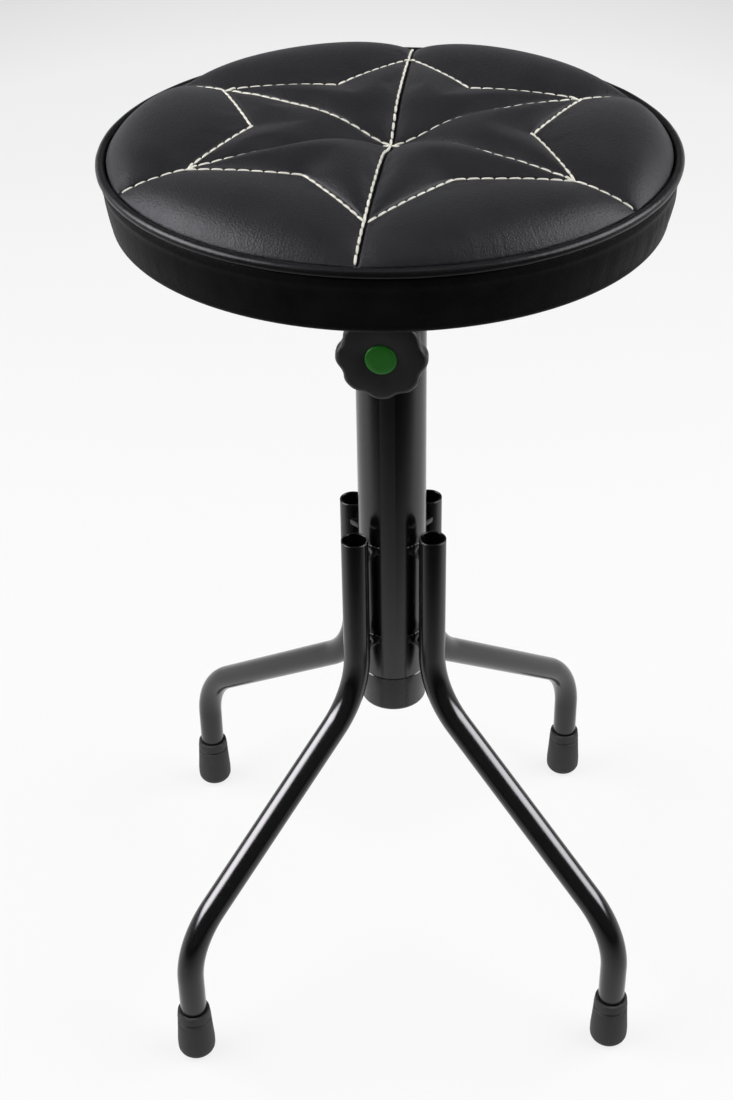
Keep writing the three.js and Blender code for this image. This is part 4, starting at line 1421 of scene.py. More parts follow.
@dataclass
class SeatMount:
    """The plate under the seat with its screws, and the swivel's axle."""

    axle_hole: ClassVar[float] = 0.0083
    side: float = 0.140
    corner_radius: float = 0.018
    corner_steps: int = 10
    easing: float = 0.0004
    screw_spacing: float = 0.100
    screw_hole: float = 0.0033
    hole_depth: float = 0.02
    shank_radius: float = 0.003
    head_radius: float = 0.0055
    head_height: float = 0.0032
    head_fullness: float = 0.6
    dome_share: float = 0.75
    dome_steps: int = 6
    recess: tuple[float, float, float] = (0.0052, 0.0012, 0.0018)
    screw_sides: int = 40
    quarters: tuple[Point, ...] = ((1.0, 1.0), (-1.0, 1.0), (-1.0, -1.0), (1.0, -1.0))

    def build(self) -> None:
        """Builds the plate and the screws and dresses the hidden nodes."""
        install(self.plate(), Body.SEAT, PAINT, "seat_plate")
        names = [f"plate_screw_{number}" for number in range(1, len(self.quarters) + 1)]
        copies = ((f"{name}_head", spot, [name]) for name, spot in zip(names, self.spots()))
        repeat(self.screw(), Body.SEAT, ZINC, copies)
        ZINC.lay_on_nodes("tee_nut_1", "tee_nut_2", "tee_nut_3", "tee_nut_4")
        ZINC.lay_on_nodes("swivel_axle", "axle_washer", "axle_lock_nut")
        PLYWOOD.lay_on_nodes("seat_board")

    def spots(self) -> list[Matrix]:
        """Returns the moves from the axis to the screws' places under the turned seat, by their numbers."""
        half = self.screw_spacing / 2
        return [turned_by(SEAT_TURN) @ moved_by(x * half, y * half, 0.0) for x, y in self.quarters]

    def plate(self) -> bpy.types.Object:
        """Returns the plate: a square with rounded corners, thickened, eased and drilled."""
        low, high = span("seat_plate")
        square = {"size": self.side, "location": (0.0, 0.0, low)}
        made = Workpiece.added("mounting_plate", bpy.ops.mesh.primitive_plane_add, **square).open().pick_all()
        corners = {"offset_type": "OFFSET", "segments": self.corner_steps, "affect": "VERTICES"}
        bpy.ops.mesh.bevel(offset=self.corner_radius, **corners)
        made.pick_all().extrude((0.0, 0.0, high - low))
        made.finish().eased(self.easing, 2, 60.0).placed(turned_by(SEAT_TURN))
        lift = moved_by(0.0, 0.0, low)
        made.minus(Workpiece.drill(self.axle_hole, self.hole_depth, lift))
        for spot in self.spots():
            made.minus(Workpiece.drill(self.screw_hole, self.hole_depth, spot @ lift))
        return made.smooth().piece

    def screw(self) -> Workpiece:
        """Returns a pan head screw on the axis, head down, with a cross recess."""
        low, high = span("plate_screw_1")
        seat = low + self.head_height
        rise = self.head_height * self.dome_share
        dome = [
            (self.head_radius * math.sin(angle) ** self.head_fullness, low + rise * (1 - math.cos(angle)))
            for angle in quarter(self.dome_steps)[1:]
        ]
        shank = [(self.shank_radius, seat), (self.shank_radius, high), (0.0, high)]
        made = Workpiece.turned("screw", [(0.0, low), *dome, (self.head_radius, seat), *shank], self.screw_sides)
        length, width, depth = self.recess
        for turn in (0.0, math.pi / 2):
            place = turned_by(turn) @ moved_by(0.0, 0.0, low) @ Matrix.Diagonal((length, width, 2 * depth, 1.0))
            made.minus(Workpiece.added("recess", bpy.ops.mesh.primitive_cube_add, size=1.0).placed(place))
        return made.smooth(40.0)


def swell(distance: float, reach: float) -> float:
    """Returns how far padding has swollen at a distance from a seam, from 0 at the seam towards 1."""
    return 1.0 - math.exp(-max(distance, 0.0) / reach)


def segment_distance(point: Vector, start: Vector, end: Vector) -> float:
    """Measures from a point to a stretch of seam, in plan.

    Args:
        point: the point.
        start: where the stretch begins.
        end: where it ends.

    Returns:
        The distance.
    """
    along = end - start
    share = min(max((point - start).dot(along) / along.length_squared, 0.0), 1.0)
    return (point - start - along * share).length


@dataclass
class Quilt:
    """The seat's quilting: a six-pointed star of seams on a low dome, with padding that swells between the seams."""

    points: int = 6
    tip_radius: float = 0.140
    valley_radius: float = 0.091
    rise_at_rim: float = 0.002
    rise: float = 0.0135
    dome_power: int = 5
    centre_dip: float = 0.0115
    dip_radius: float = 0.034
    facet_puff: float = 0.007
    facet_reach: float = 0.0095
    fullness: tuple[float, ...] = (1.35, 1.2, 1.0, 1.0, 0.7, 1.35)
    field_puff: float = 0.0125
    field_reach: float = 0.022
    spoke_reach: float = 0.012
    rim_reach: float = 0.009

    def __post_init__(self) -> None:
        """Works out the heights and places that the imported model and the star's radii set."""
        self.floor = middle_height("seat_piping")
        self.rim = outer_radius("top_panel")
        self.half = math.pi / self.points
        self.tips = [self.flat(self.tip_radius, 2 * self.half * side) for side in (0, 1)]
        self.ends = [self.flat(self.rim, 2 * self.half * side) for side in (0, 1)]
        self.valley = self.flat(self.valley_radius, self.half)

    @staticmethod
    def flat(radius: float, turn: float) -> Vector:
        """Returns a point in plan."""
        return polar(radius, turn, 0.0).to_2d()

    def corners(self) -> list[Vector]:
        """Returns the star's corners in plan, tips and valleys in turn, from the front tip round to it again."""
        radii = (self.tip_radius, self.valley_radius)
        return [self.flat(radii[number % 2], self.half * number) for number in range(2 * self.points + 1)]

    def edge_radius(self, turn: float) -> float:
        """Finds the star's outline.

        Args:
            turn: the turn from the front.

        Returns:
            The outline's radius there.
        """
        angle = abs((turn + self.half) % (2 * self.half) - self.half)
        pull = self.valley_radius * math.sin(self.half - angle) + self.tip_radius * math.sin(angle)
        return self.tip_radius * self.valley_radius * math.sin(self.half) / pull

    def seam_height(self, radius: float) -> float:
        """Returns the height of the seams at a radius."""
        dome = self.rise_at_rim + (self.rise - self.rise_at_rim) * (1.0 - (radius / self.rim) ** self.dome_power)
        return self.floor + dome - self.centre_dip * math.exp(-((radius / self.dip_radius) ** 2))

    def seams(self, radius: float, turn: float) -> tuple[list[float], list[float]]:
        """Measures to the seams round a place.

        Args:
            radius: the place's radius.
            turn: its turn from the front.

        Returns:
            The distances to the star's two nearest edges, and to the two nearest seams along radii.
        """
        point = self.flat(radius, turn % (2 * self.half))
        edges = [segment_distance(point, tip, self.valley) for tip in self.tips]
        ends = [Vector((0.0, 0.0))] * 2 if radius <= self.edge_radius(turn) else self.ends
        return edges, [segment_distance(point, tip, end) for tip, end in zip(self.tips, ends)]

    def height(self, radius: float, turn: float) -> float:
        """Finds the padded surface.

        Args:
            radius: a place's radius.
            turn: its turn from the front.

        Returns:
            The surface's height there.
        """
        edges, spokes = self.seams(radius, turn)
        if radius <= self.edge_radius(turn):
            panel = int(turn % math.tau / (2 * self.half) + TINY) % self.points
            puff = self.facet_puff * self.fullness[panel]
            for distance in (*edges, *spokes):
                puff *= swell(distance, self.facet_reach)
        else:
            puff = self.field_puff * swell(self.rim - radius, self.rim_reach)
            for distance in edges:
                puff *= swell(distance, self.field_reach)
            for distance in spokes:
                puff *= swell(distance, self.spoke_reach)
        return self.seam_height(radius) + puff


@dataclass
class CoverSimulation:
    """Lets a slightly oversized cover settle between its seams, which hold it down."""

    quilt: Quilt
    star_steps: int = 20
    field_steps: int = 11
    frames: int = 16
    most: float = 0.004
    stuff: ClassVar[dict[str, float]] = {
        "quality": 6,
        "mass": 0.25,
        "tension_stiffness": 25.0,
        "compression_stiffness": 25.0,
        "shear_stiffness": 10.0,
        "bending_stiffness": 7.0,
        "use_pressure": True,
        "uniform_pressure_force": 2.5,
        "shrink_min": -0.003,
    }

    def __post_init__(self) -> None:
        """Lays out the cover's net of triangles in plan."""
        self.points = [Vector((0.0, 0.0))]
        self.faces: list[tuple[int, ...]] = []
        self.held = [0]
        self.lay_field(self.lay_star())

    def lay(self, point: Vector, held: bool) -> int:
        """Adds a point to the net.

        Args:
            point: the point in plan.
            held: whether a seam holds it down.

        Returns:
            Its number.
        """
        if held:
            self.held.append(len(self.points))
        self.points.append(point)
        return len(self.points) - 1

    def lay_star(self) -> list[int]:
        """Lays rings of the star's own shape, each with one more step to a side than the last.

        Returns:
            The numbers of the outermost ring's points.
        """
        corners = self.quilt.corners()
        inner = [0]
        for ring in range(1, self.star_steps + 1):
            outer = []
            for side, (corner, after) in enumerate(zip(corners, corners[1:])):
                for step in range(ring):
                    point = corner.lerp(after, step / ring) * (ring / self.star_steps)
                    outer.append(self.lay(point, ring == self.star_steps or (step == 0 and side % 2 == 0)))
            for side in range(len(corners) - 1):
                for step in range(ring):
                    place, first = side * (ring - 1) + step, side * ring + step
                    near, second = inner[place % len(inner)], outer[(first + 1) % len(outer)]
                    self.faces.append((near, outer[first], second))
                    if step < ring - 1:
                        self.faces.append((near, second, inner[(place + 1) % len(inner)]))
            inner = outer
        return inner

    def lay_field(self, outline: list[int]) -> None:
        """Lays rings from the star's outline to the rim, on the radii of the outline's points.

        Args:
            outline: the numbers of the outline's points.
        """
        count = len(outline)
        inner = outline
        for row in range(1, self.field_steps + 1):
            outer = []
            for number, start in enumerate(outline):
                point = self.points[start]
                radius = point.length + (self.quilt.rim - point.length) * row / self.field_steps
                on_seam = row == self.field_steps or number % (2 * self.star_steps) == 0
                outer.append(self.lay(point.normalized() * radius, on_seam))
            for i in range(count):
                after = (i + 1) % count
                self.faces += [(inner[i], outer[i], outer[after]), (inner[i], outer[after], inner[after])]
            inner = outer

    def moves(self) -> list[Vector]:
        """Runs the cloth.

        Returns:
            How far each point of the net has moved.
        """
        start = [Vector((*point, self.quilt.height(point.length, turn_of(point)))) for point in self.points]
        net = mesh_piece("cover_net", start, self.faces)
        held = net.piece.vertex_groups.new(name="held")
        held.add(self.held, 1.0, "REPLACE")
        cloth = net.piece.modifiers.new("Cloth", "CLOTH")
        for name, value in self.stuff.items():
            setattr(cloth.settings, name, value)
        cloth.settings.vertex_group_mass = held.name
        cloth.settings.effector_weights.gravity = 0.0
        cloth.point_cache.frame_start, cloth.point_cache.frame_end = 1, self.frames
        for number in range(1, self.frames + 1):
            bpy.context.scene.frame_set(number)
        net.apply(cloth)
        bpy.context.scene.frame_set(1)
        steps = [vertex.co - place for vertex, place in zip(net.piece.data.vertices, start)]
        moved = [step * min(1.0, self.most / max(step.length, TINY)) for step in steps]
        log.info("cover_net: %d points, moved %.2f mm at most", len(moved), 1000 * max(m.length for m in moved))
        net.scrap()
        return moved

    def settled(self) -> Callable[[Vector], Vector]:
        """Runs the cloth and spreads its moves over the cover.

        Returns:
            A function that gives the cover's move at any point in plan.
        """
        moves = self.moves()
        flat = [point.to_3d() for point in self.points]
        net = BVHTree.FromPolygons(flat, self.faces)

        def move_at(point: Vector) -> Vector:
            """Returns the move at a point, between those of the net's nearest triangle."""
            place, _, number, _ = net.find_nearest(point.to_2d().to_3d())
            corners = self.faces[number]
            return barycentric_transform(place, *(flat[i] for i in corners), *(moves[i] for i in corners))

        return move_at


@dataclass
class Cushion:
    """The padded top: foam under a quilted cover, with a sewn groove along each seam."""

    quilt: Quilt
    groove_width: float = 0.0010
    groove_depth: float = 0.0018
    groove_start: float = 0.004
    star_shift: float = 0.0020
    tuck: tuple[Point, ...] = ((0.0002, 0.001), (0.001, 0.004))
    wall_drop: float = 0.006
    wall_gap: float = 0.0005
    lower_edge: float = 0.002
    spoke_shares: tuple[float, ...] = (
        0.0, 0.005, 0.012, 0.022, 0.037, 0.058, 0.085, 0.12, 0.165, 0.22, 0.285, 0.355, 0.43, 0.51, 0.59, 0.67,
        0.75, 0.83, 0.915,
    )
    star_shares: tuple[float, ...] = (
        0.008, 0.02, 0.04, 0.065, 0.095, 0.13, 0.17, 0.215, 0.265, 0.32, 0.38, 0.44, 0.5, 0.56, 0.62, 0.68, 0.735,
        0.785, 0.83, 0.87, 0.905, 0.932, 0.953, 0.969, 0.981, 0.99, 0.996, 1.0,
    )
    field_shares: tuple[float, ...] = (
        0.005, 0.012, 0.022, 0.037, 0.06, 0.09, 0.125, 0.165, 0.21, 0.265, 0.325, 0.39, 0.455, 0.52, 0.585, 0.65,
        0.71, 0.765, 0.815, 0.86, 0.9, 0.93, 0.955, 0.975, 0.99, 1.0,
    )

    def build(self) -> bpy.types.Object:
        """Builds the cushion.

        Returns:
            The cushion.
        """
        piece = self.closed_mesh()
        install(piece, Body.SEAT, LEATHERETTE, "top_panel", "seat_foam")
        return piece

    def turns(self) -> list[float]:
        """Returns the turns of the mesh's radii, closer together beside the seams that run out from the centre."""
        shares = [*self.spoke_shares, 1.0, *(2.0 - share for share in reversed(self.spoke_shares[1:]))]
        return [self.quilt.half * (2 * point + share) for point in range(self.quilt.points) for share in shares]

    def surface(self, radius: float, turn: float) -> float:
        """Finds the cover, grooves included.

        Args:
            radius: a place's radius.
            turn: its turn from the front.

        Returns:
            The cover's height there.
        """
        edges, spokes = self.quilt.seams(radius, turn)
        groove = self.groove_depth * math.exp(-((min(*edges, *spokes) / self.groove_width) ** 2))
        return self.quilt.height(radius, turn) - groove * min(1.0, radius / self.groove_start)

    def radius_at(self, turn: float, star_share: float, field_share: float) -> float:
        """Returns the radius at shares of the way to the star's outline, and from there to the rim."""
        edge = self.quilt.edge_radius(turn)
        return edge * star_share + (self.quilt.rim - edge) * field_share

    def placed(self, point: Vector) -> Vector:
        """Places a point of the quilting on the turned seat, shifted as the star is sewn.

        Args:
            point: the point as it is laid out.

        Returns:
            Its place.
        """
        radius = math.hypot(point.x, point.y)
        turned = Matrix.Rotation(SEAT_TURN, 3, "Z") @ point
        turned.x += self.star_shift * max(0.0, 1.0 - (radius / self.quilt.rim) ** 2)
        return turned

    def cover(self) -> list[Vector]:
        """Lays out the cover's points.

        Returns:
            The points, ring by ring from the centre to the rim, and the centre itself as the last.
        """
        move_at = CoverSimulation(self.quilt).settled()
        shares = [*((share, 0.0) for share in self.star_shares), *((1.0, share) for share in self.field_shares)]
        spots = [(self.radius_at(turn, *share), turn) for share in shares for turn in self.turns()]
        points = []
        for radius, turn in (*spots, (0.0, 0.0)):
            point = polar(radius, turn, self.surface(radius, turn))
            points.append(self.placed(point if move_at is None else point + move_at(point)))
        return points

    def closed_mesh(self) -> bpy.types.Object:
        """Returns the closed cushion: cover, rim tucked in behind the piping, wall and flat underside."""
        *points, centre = self.cover()
        low, wall = span("seat_foam")[0], outer_radius("seat_foam") - self.wall_gap
        inner_rings = (
            *((self.quilt.rim - inset, self.quilt.floor - drop) for inset, drop in self.tuck),
            (wall, self.quilt.floor - self.wall_drop),
            (wall, low + self.lower_edge),
            (wall - self.lower_edge, low),
            (wall / 2, low),
        )
        turns = self.turns()
        count = len(turns)
        points += [polar(radius, turn + SEAT_TURN, height) for radius, height in inner_rings for turn in turns]
        rows = len(points) // count
        faces = ring_faces(rows, count)
        faces += [(len(points), i, (i + 1) % count) for i in range(count)]
        points.append(centre)
        last = (rows - 1) * count
        faces += [(len(points), last + (i + 1) % count, last + i) for i in range(count)]
        points.append(Vector((0.0, 0.0, low)))
        made = mesh_piece("seat_cushion", points, faces).open().finish()
        return made.modify("SUBSURF", levels=1, render_levels=1, use_limit_surface=False).piece


@dataclass
class Stitching:
    """The topstitching: thick thread beside each seam, one stitch at a time, dipping into its holes at both ends."""

    quilt: Quilt
    cushion: bpy.types.Object
    star_place: Callable[[Vector], Vector]
    pitch: float = 0.0085
    length: float = 0.0081
    thread: float = 0.0016
    beside: float = 0.0012
    sewn_side: tuple[float, float, float] = (-0.3, -1.0, 0.0)
    sunk: float = 0.00015
    dip: float = 0.0007
    swelling: float = 0.12
    taper_power: int = 5
    slant: float = math.radians(3.0)
    slant_change: Point = (0.5, 2.4)
    footing: float = 0.3
    rim_gap: float = 0.0015
    sides: int = 8
    rings: int = 9

    def __post_init__(self) -> None:
        """Takes the cushion's surface to lay the stitches on."""
        self.surface = BVHTree.FromObject(self.cushion, bpy.context.evaluated_depsgraph_get())

    def build(self) -> None:
        """Sews the star's outline, the seams inside it and those that run on to the rim."""
        unit = self.stitch()
        corners = self.quilt.corners()
        tips = corners[:-1:2]
        ends = [tip.normalized() * (self.quilt.rim - self.rim_gap) for tip in tips]
        self.sew("star_outline_stitches", unit, list(zip(corners, corners[1:])))
        self.sew("star_inner_stitches", unit, [(Vector((0.0, 0.0)), tip) for tip in tips])
        self.sew("rim_seam_stitches", unit, list(zip(tips, ends)))
        unit.scrap()

    def stitch(self) -> Workpiece:
        """Returns one stitch along X: a thread with tapered ends that bend down, with a map along and round it."""
        shares = [math.cos(math.pi * ring / (self.rings - 1)) for ring in range(self.rings)]
        tapers = [math.sqrt(1.0 - abs(share) ** self.taper_power) for share in shares]
        outline = [(self.thread / 2 * taper, -share * self.length / 2) for share, taper in zip(shares, tapers)]
        made = Workpiece.turned("stitch", outline, self.sides, closed=False)
        made.placed(Matrix.Rotation(math.pi / 2, 4, "Y"))
        data = made.piece.data
        chart = data.uv_layers.new(name="thread")
        for face in data.polygons:
            middle = math.atan2(face.center.y, face.center.z) / math.tau
            for loop in face.loop_indices:
                spot = data.vertices[data.loops[loop].vertex_index].co
                around = math.atan2(spot.y, spot.z) / math.tau
                chart.data[loop].uv = (around + round(middle - around), spot.x / (self.thread * math.pi))
        for vertex in data.vertices:
            share = abs(2 * vertex.co.x / self.length)
            vertex.co.z -= self.dip * share**self.taper_power
            vertex.co.y *= 1.0 + self.swelling * (1.0 - share**2)
        return made.smooth(80.0)

    def sew(self, name: str, unit: Workpiece, seams: Sequence[tuple[Vector, Vector]]) -> None:
        """Sews stitches along stretches of seam, as one piece.

        Args:
            name: the piece's name.
            unit: one stitch.
            seams: the stretches, in plan, before the seat's turn.
        """
        row = bmesh.new()
        for ends in seams:
            start, end = (self.star_place(point.to_3d()) for point in ends)
            along = (end - start).normalized()
            aside = Vector((along.y, -along.x, 0.0))
            if aside.dot(Vector(self.sewn_side)) < 0:
                aside.negate()
            count = round((end - start).length / self.pitch)
            foot = along * (self.length * self.footing)
            for number in range(count):
                middle = start.lerp(end, (number + 0.5) / count) + aside * self.beside
                back, spot, front = (self.on_cover(point) for point in (middle - foot, middle, middle + foot))
                if None in (back, spot, front):
                    continue
                first = len(row.verts)
                row.from_mesh(unit.piece.data)
                row.verts.ensure_lookup_table()
                bmesh.ops.transform(row, matrix=self.place(spot, front - back, number), verts=row.verts[first:])
        data = bpy.data.meshes.new(name)
        row.to_mesh(data)
        row.free()
        install(linked(data), Body.SEAT, THREAD)

    def on_cover(self, point: Vector) -> Vector | None:
        """Returns the point of the cover straight below a point in plan."""
        return self.surface.ray_cast(Vector((point.x, point.y, 1.0)), -AXIS)[0]

    def place(self, spot: Vector, along: Vector, number: int) -> Matrix:
        """Finds the place of one stitch.

        Args:
            spot: the point of the cover under its middle.
            along: the way that it runs.
            number: its number on the seam, which varies its slant a little.

        Returns:
            The matrix that lays it there.
        """
        forward = along.normalized()
        upright = (AXIS - forward * forward.z).normalized()
        axes = Matrix((forward, upright.cross(forward), upright)).transposed().to_4x4()
        change, rate = self.slant_change
        turn = turned_by(self.slant * (1.0 + change * math.sin(number * rate)))
        return Matrix.Translation(spot + upright * (self.thread / 2 - self.sunk)) @ axes @ turn


def waviness(turn: float, rate: float, level: float) -> float:
    """Returns a noise that runs round the seat without a break."""
    return noise.noise(Vector((math.sin(turn) * rate, math.cos(turn) * rate, level)))


@dataclass
class Cover:
    """The rest of the cover: piped edge, side band with its hem, dust cloth and the staples that hold it."""

    thickness: float = 0.0016
    edge_radius: float = 0.005
    edge_steps: int = 8
    hem_width: float = 0.033
    inset: float = 0.0035
    taper: float = 0.0035
    bulge: float = 0.0008
    shoulder: float = 0.0010
    shoulder_spot: Point = (0.9, 0.09)
    top_round: float = 0.0018
    top_steps: int = 4
    rows: int = 26
    sides: int = 384
    wave: float = 0.0005
    wave_rates: Point = (2.2, 0.7)
    wave_start: float = 0.12
    wrinkle: float = 0.0009
    wrinkle_rates: tuple[float, float, float] = (26.0, 0.9, 3.0)
    fine_wrinkle: float = 0.0003
    fine_rates: tuple[float, float, float] = (52.0, 1.6, 7.0)
    slack_spot: Point = (72.0, 26.0)
    least_slack: float = 0.12
    piping_sides: int = 20
    piping_inset: float = 0.0001
    piping_wave: float = 0.00012
    piping_rate: float = 14.0
    cloth: float = 0.0008
    cloth_steps: int = 14
    cloth_sides: int = 192
    board_edge: float = 0.104
    sag: Point = (0.0003, 0.0005)
    sag_rates: Point = (5.0, 12.0)
    lap: float = 0.015
    step: float = 0.010
    clearance: float = 0.0003
    staples: int = 24
    wire: float = 0.00045
    wire_sides: int = 8
    wire_bend: float = 0.0008
    bend_steps: int = 6
    buried: float = 0.0004
    crown: float = 0.010

    def build(self) -> None:
        """Builds the cover's pieces."""
        band = install(self.band(), Body.SEAT, SHADED_BAND_LEATHERETTE, "side_band")
        install(self.piping(), Body.SEAT, PIPING_LEATHERETTE, "seat_piping")
        lining = install(self.lining(), Body.SEAT, DUST_CLOTH, "underside_cloth")
        places = [turned_by(math.tau * (number + 0.5) / self.staples) for number in range(self.staples)]
        copies = ((f"staple_{number}", place, []) for number, place in enumerate(places, start=1))
        repeat(self.staple(), Body.SEAT, ZINC, copies)

    @property
    def outer(self) -> float:
        """Returns the band's radius under the piping."""
        return outer_radius("seat_piping") - self.inset

    def wall_radius(self, share: float) -> float:
        """Finds the band's wall.

        Args:
            share: how far up the wall, from the lower edge at 0 to the piping at 1.

        Returns:
            Its outer radius there.
        """
        straight = self.outer - self.taper * (1.0 - share)
        belly = self.bulge * math.sin(math.pi * share)
        spot, reach = self.shoulder_spot
        return straight + belly + self.shoulder * math.exp(-(((share - spot) / reach) ** 2))

    def band(self) -> bpy.types.Object:
        """Returns the band: a turned shell with a hem, then drawn in and out as sewn leatherette is."""
        low, high = span("side_band")
        base, top = low + self.edge_radius, high - self.top_round
        foot = rounded_foot(self.outer - self.taper, low, self.edge_radius, self.edge_steps)
        shares = [row / self.rows for row in range(1, self.rows + 1)]
        wall = [(self.wall_radius(share), base + (top - base) * share) for share in shares]
        crest = [
            (wall[-1][0] - self.top_round * (1.0 - math.cos(angle)), top + self.top_round * math.sin(angle))
            for angle in quarter(self.top_steps)[1:]
        ]
        hem = foot[0][0] - self.hem_width
        outside = [(hem, low), *foot, *wall, *crest]
        inside = []
        for before, here, after in zip(outside, outside[1:], outside[2:]):
            way = Vector((after[0] - before[0], after[1] - before[1])).normalized()
            inside.append((here[0] - way.y * self.thickness, here[1] + way.x * self.thickness))
        inside = inside[: -self.top_steps]
        outline = [*outside, *reversed(inside), (hem, low + self.thickness)]
        made = Workpiece.turned("side_wall", outline, self.sides)
        for vertex in made.piece.data.vertices:
            self.drape(vertex.co, min(max((vertex.co.z - base) / (top - base), 0.0), 1.0))
        return made.smooth(60.0).piece

    def drape(self, point: Vector, share: float) -> None:
        """Moves a point of the band in or out: long soft waves, and upright wrinkles where the cover is slack.

        Args:
            point: the point, changed in place.
            share: how far up the wall it is.
        """
        radius, turn = math.hypot(point.x, point.y), turn_of(point)
        room = math.sin(math.pi * min(share + self.wave_start, 1.0)) if share > 0 else 0.0
        round_rate, up_rate = self.wave_rates
        wave = self.wave * waviness(turn, round_rate, share * up_rate)
        spot, reach = self.slack_spot
        slack = math.exp(-((math.degrees(turn) - spot) / reach) ** 2) + self.least_slack
        for depth, rates in ((self.wrinkle, self.wrinkle_rates), (self.fine_wrinkle, self.fine_rates)):
            wave += slack * depth * noise.noise(Vector((turn * rates[0], share * rates[1], rates[2])))
        scale = (radius + room * wave) / radius
        point.x *= scale
        point.y *= scale

    def piping(self) -> bpy.types.Object:
        """Returns the piped edge: a covered cord all the way round, a little uneven."""
        low, high = span("seat_piping")
        cord, height = (high - low) / 2, middle_height("seat_piping")
        ring = outer_radius("seat_piping") - cord
        points = []
        for turn in (math.tau * side / self.sides for side in range(self.sides)):
            reach = cord - self.piping_inset + self.piping_wave * waviness(turn, self.piping_rate, 1.0)
            for angle in (math.tau * step / self.piping_sides for step in range(self.piping_sides)):
                points.append(polar(ring + reach * math.cos(angle), turn, height + reach * math.sin(angle)))
        faces = ring_faces(self.sides, self.piping_sides, closed_rows=True)
        return mesh_piece("piped_edge", points, faces).open().finish().piece

    def lining(self) -> bpy.types.Object:
        """Returns the dust cloth: flat under the board, lapped over the hem, in shallow waves between its staples."""
        low, high = span("underside_cloth")
        rim, hole = outer_radius("underside_cloth"), outer_radius("axle_lock_nut")
        hem_end = self.outer - self.taper - self.edge_radius - self.hem_width - self.clearance
        run, flat = hem_end - self.step - hole, high - self.cloth
        lower = [(hole + run * step / self.cloth_steps, flat) for step in range(self.cloth_steps + 1)]
        lower += [(hem_end, low), ((hem_end + rim) / 2, low), (rim, low)]
        upper = [(radius, height + self.cloth) for radius, height in reversed(lower)]
        made = Workpiece.turned("dust_cloth", [*lower, *upper], self.cloth_sides)
        (least, more), (round_rate, out_rate) = self.sag, self.sag_rates
        for point in (vertex.co for vertex in made.piece.data.vertices):
            radius = math.hypot(point.x, point.y)
            share = max((radius - self.board_edge) / (rim - self.board_edge), 0.0)
            fold = abs(waviness(turn_of(point), round_rate, radius * out_rate))
            point.z -= max(0.0, math.sin(math.pi * share)) * (least + more * fold)
        return made.smooth(60.0).piece

    def staple(self) -> Workpiece:
        """Returns a staple at the front: wire that comes down out of the cloth, runs across and goes back up."""
        radius, low = outer_radius("underside_cloth") - self.lap / 2, span("underside_cloth")[0]
        half, bend = self.crown / 2, self.wire_bend
        down = self.buried - 2 * bend - self.wire
        height = low + bend + down
        circle = {"vertices": self.wire_sides, "radius": self.wire, "fill_type": "NGON"}
        start = (-half, -radius, low + bend)
        made = Workpiece.added("staple", bpy.ops.mesh.primitive_circle_add, **circle, location=start).open()
        made.pick_all().extrude((0.0, 0.0, down))
        made.spin(math.pi / 2, (bend - half, -radius, height), (0.0, 1.0, 0.0), self.bend_steps)
        made.extrude((2 * (half - bend), 0.0, 0.0))
        made.spin(math.pi / 2, (half - bend, -radius, height), (0.0, 1.0, 0.0), self.bend_steps)
        return made.extrude((0.0, 0.0, -down)).finish().smooth(60.0)


@dataclass(frozen=True)
class SoftBox:
    """A soft box: where it hangs, its width and height, its light, and its brightness in reflections."""

    name: str
    place: tuple[float, float, float]
    size: Point
    dull: float
    glossy: float


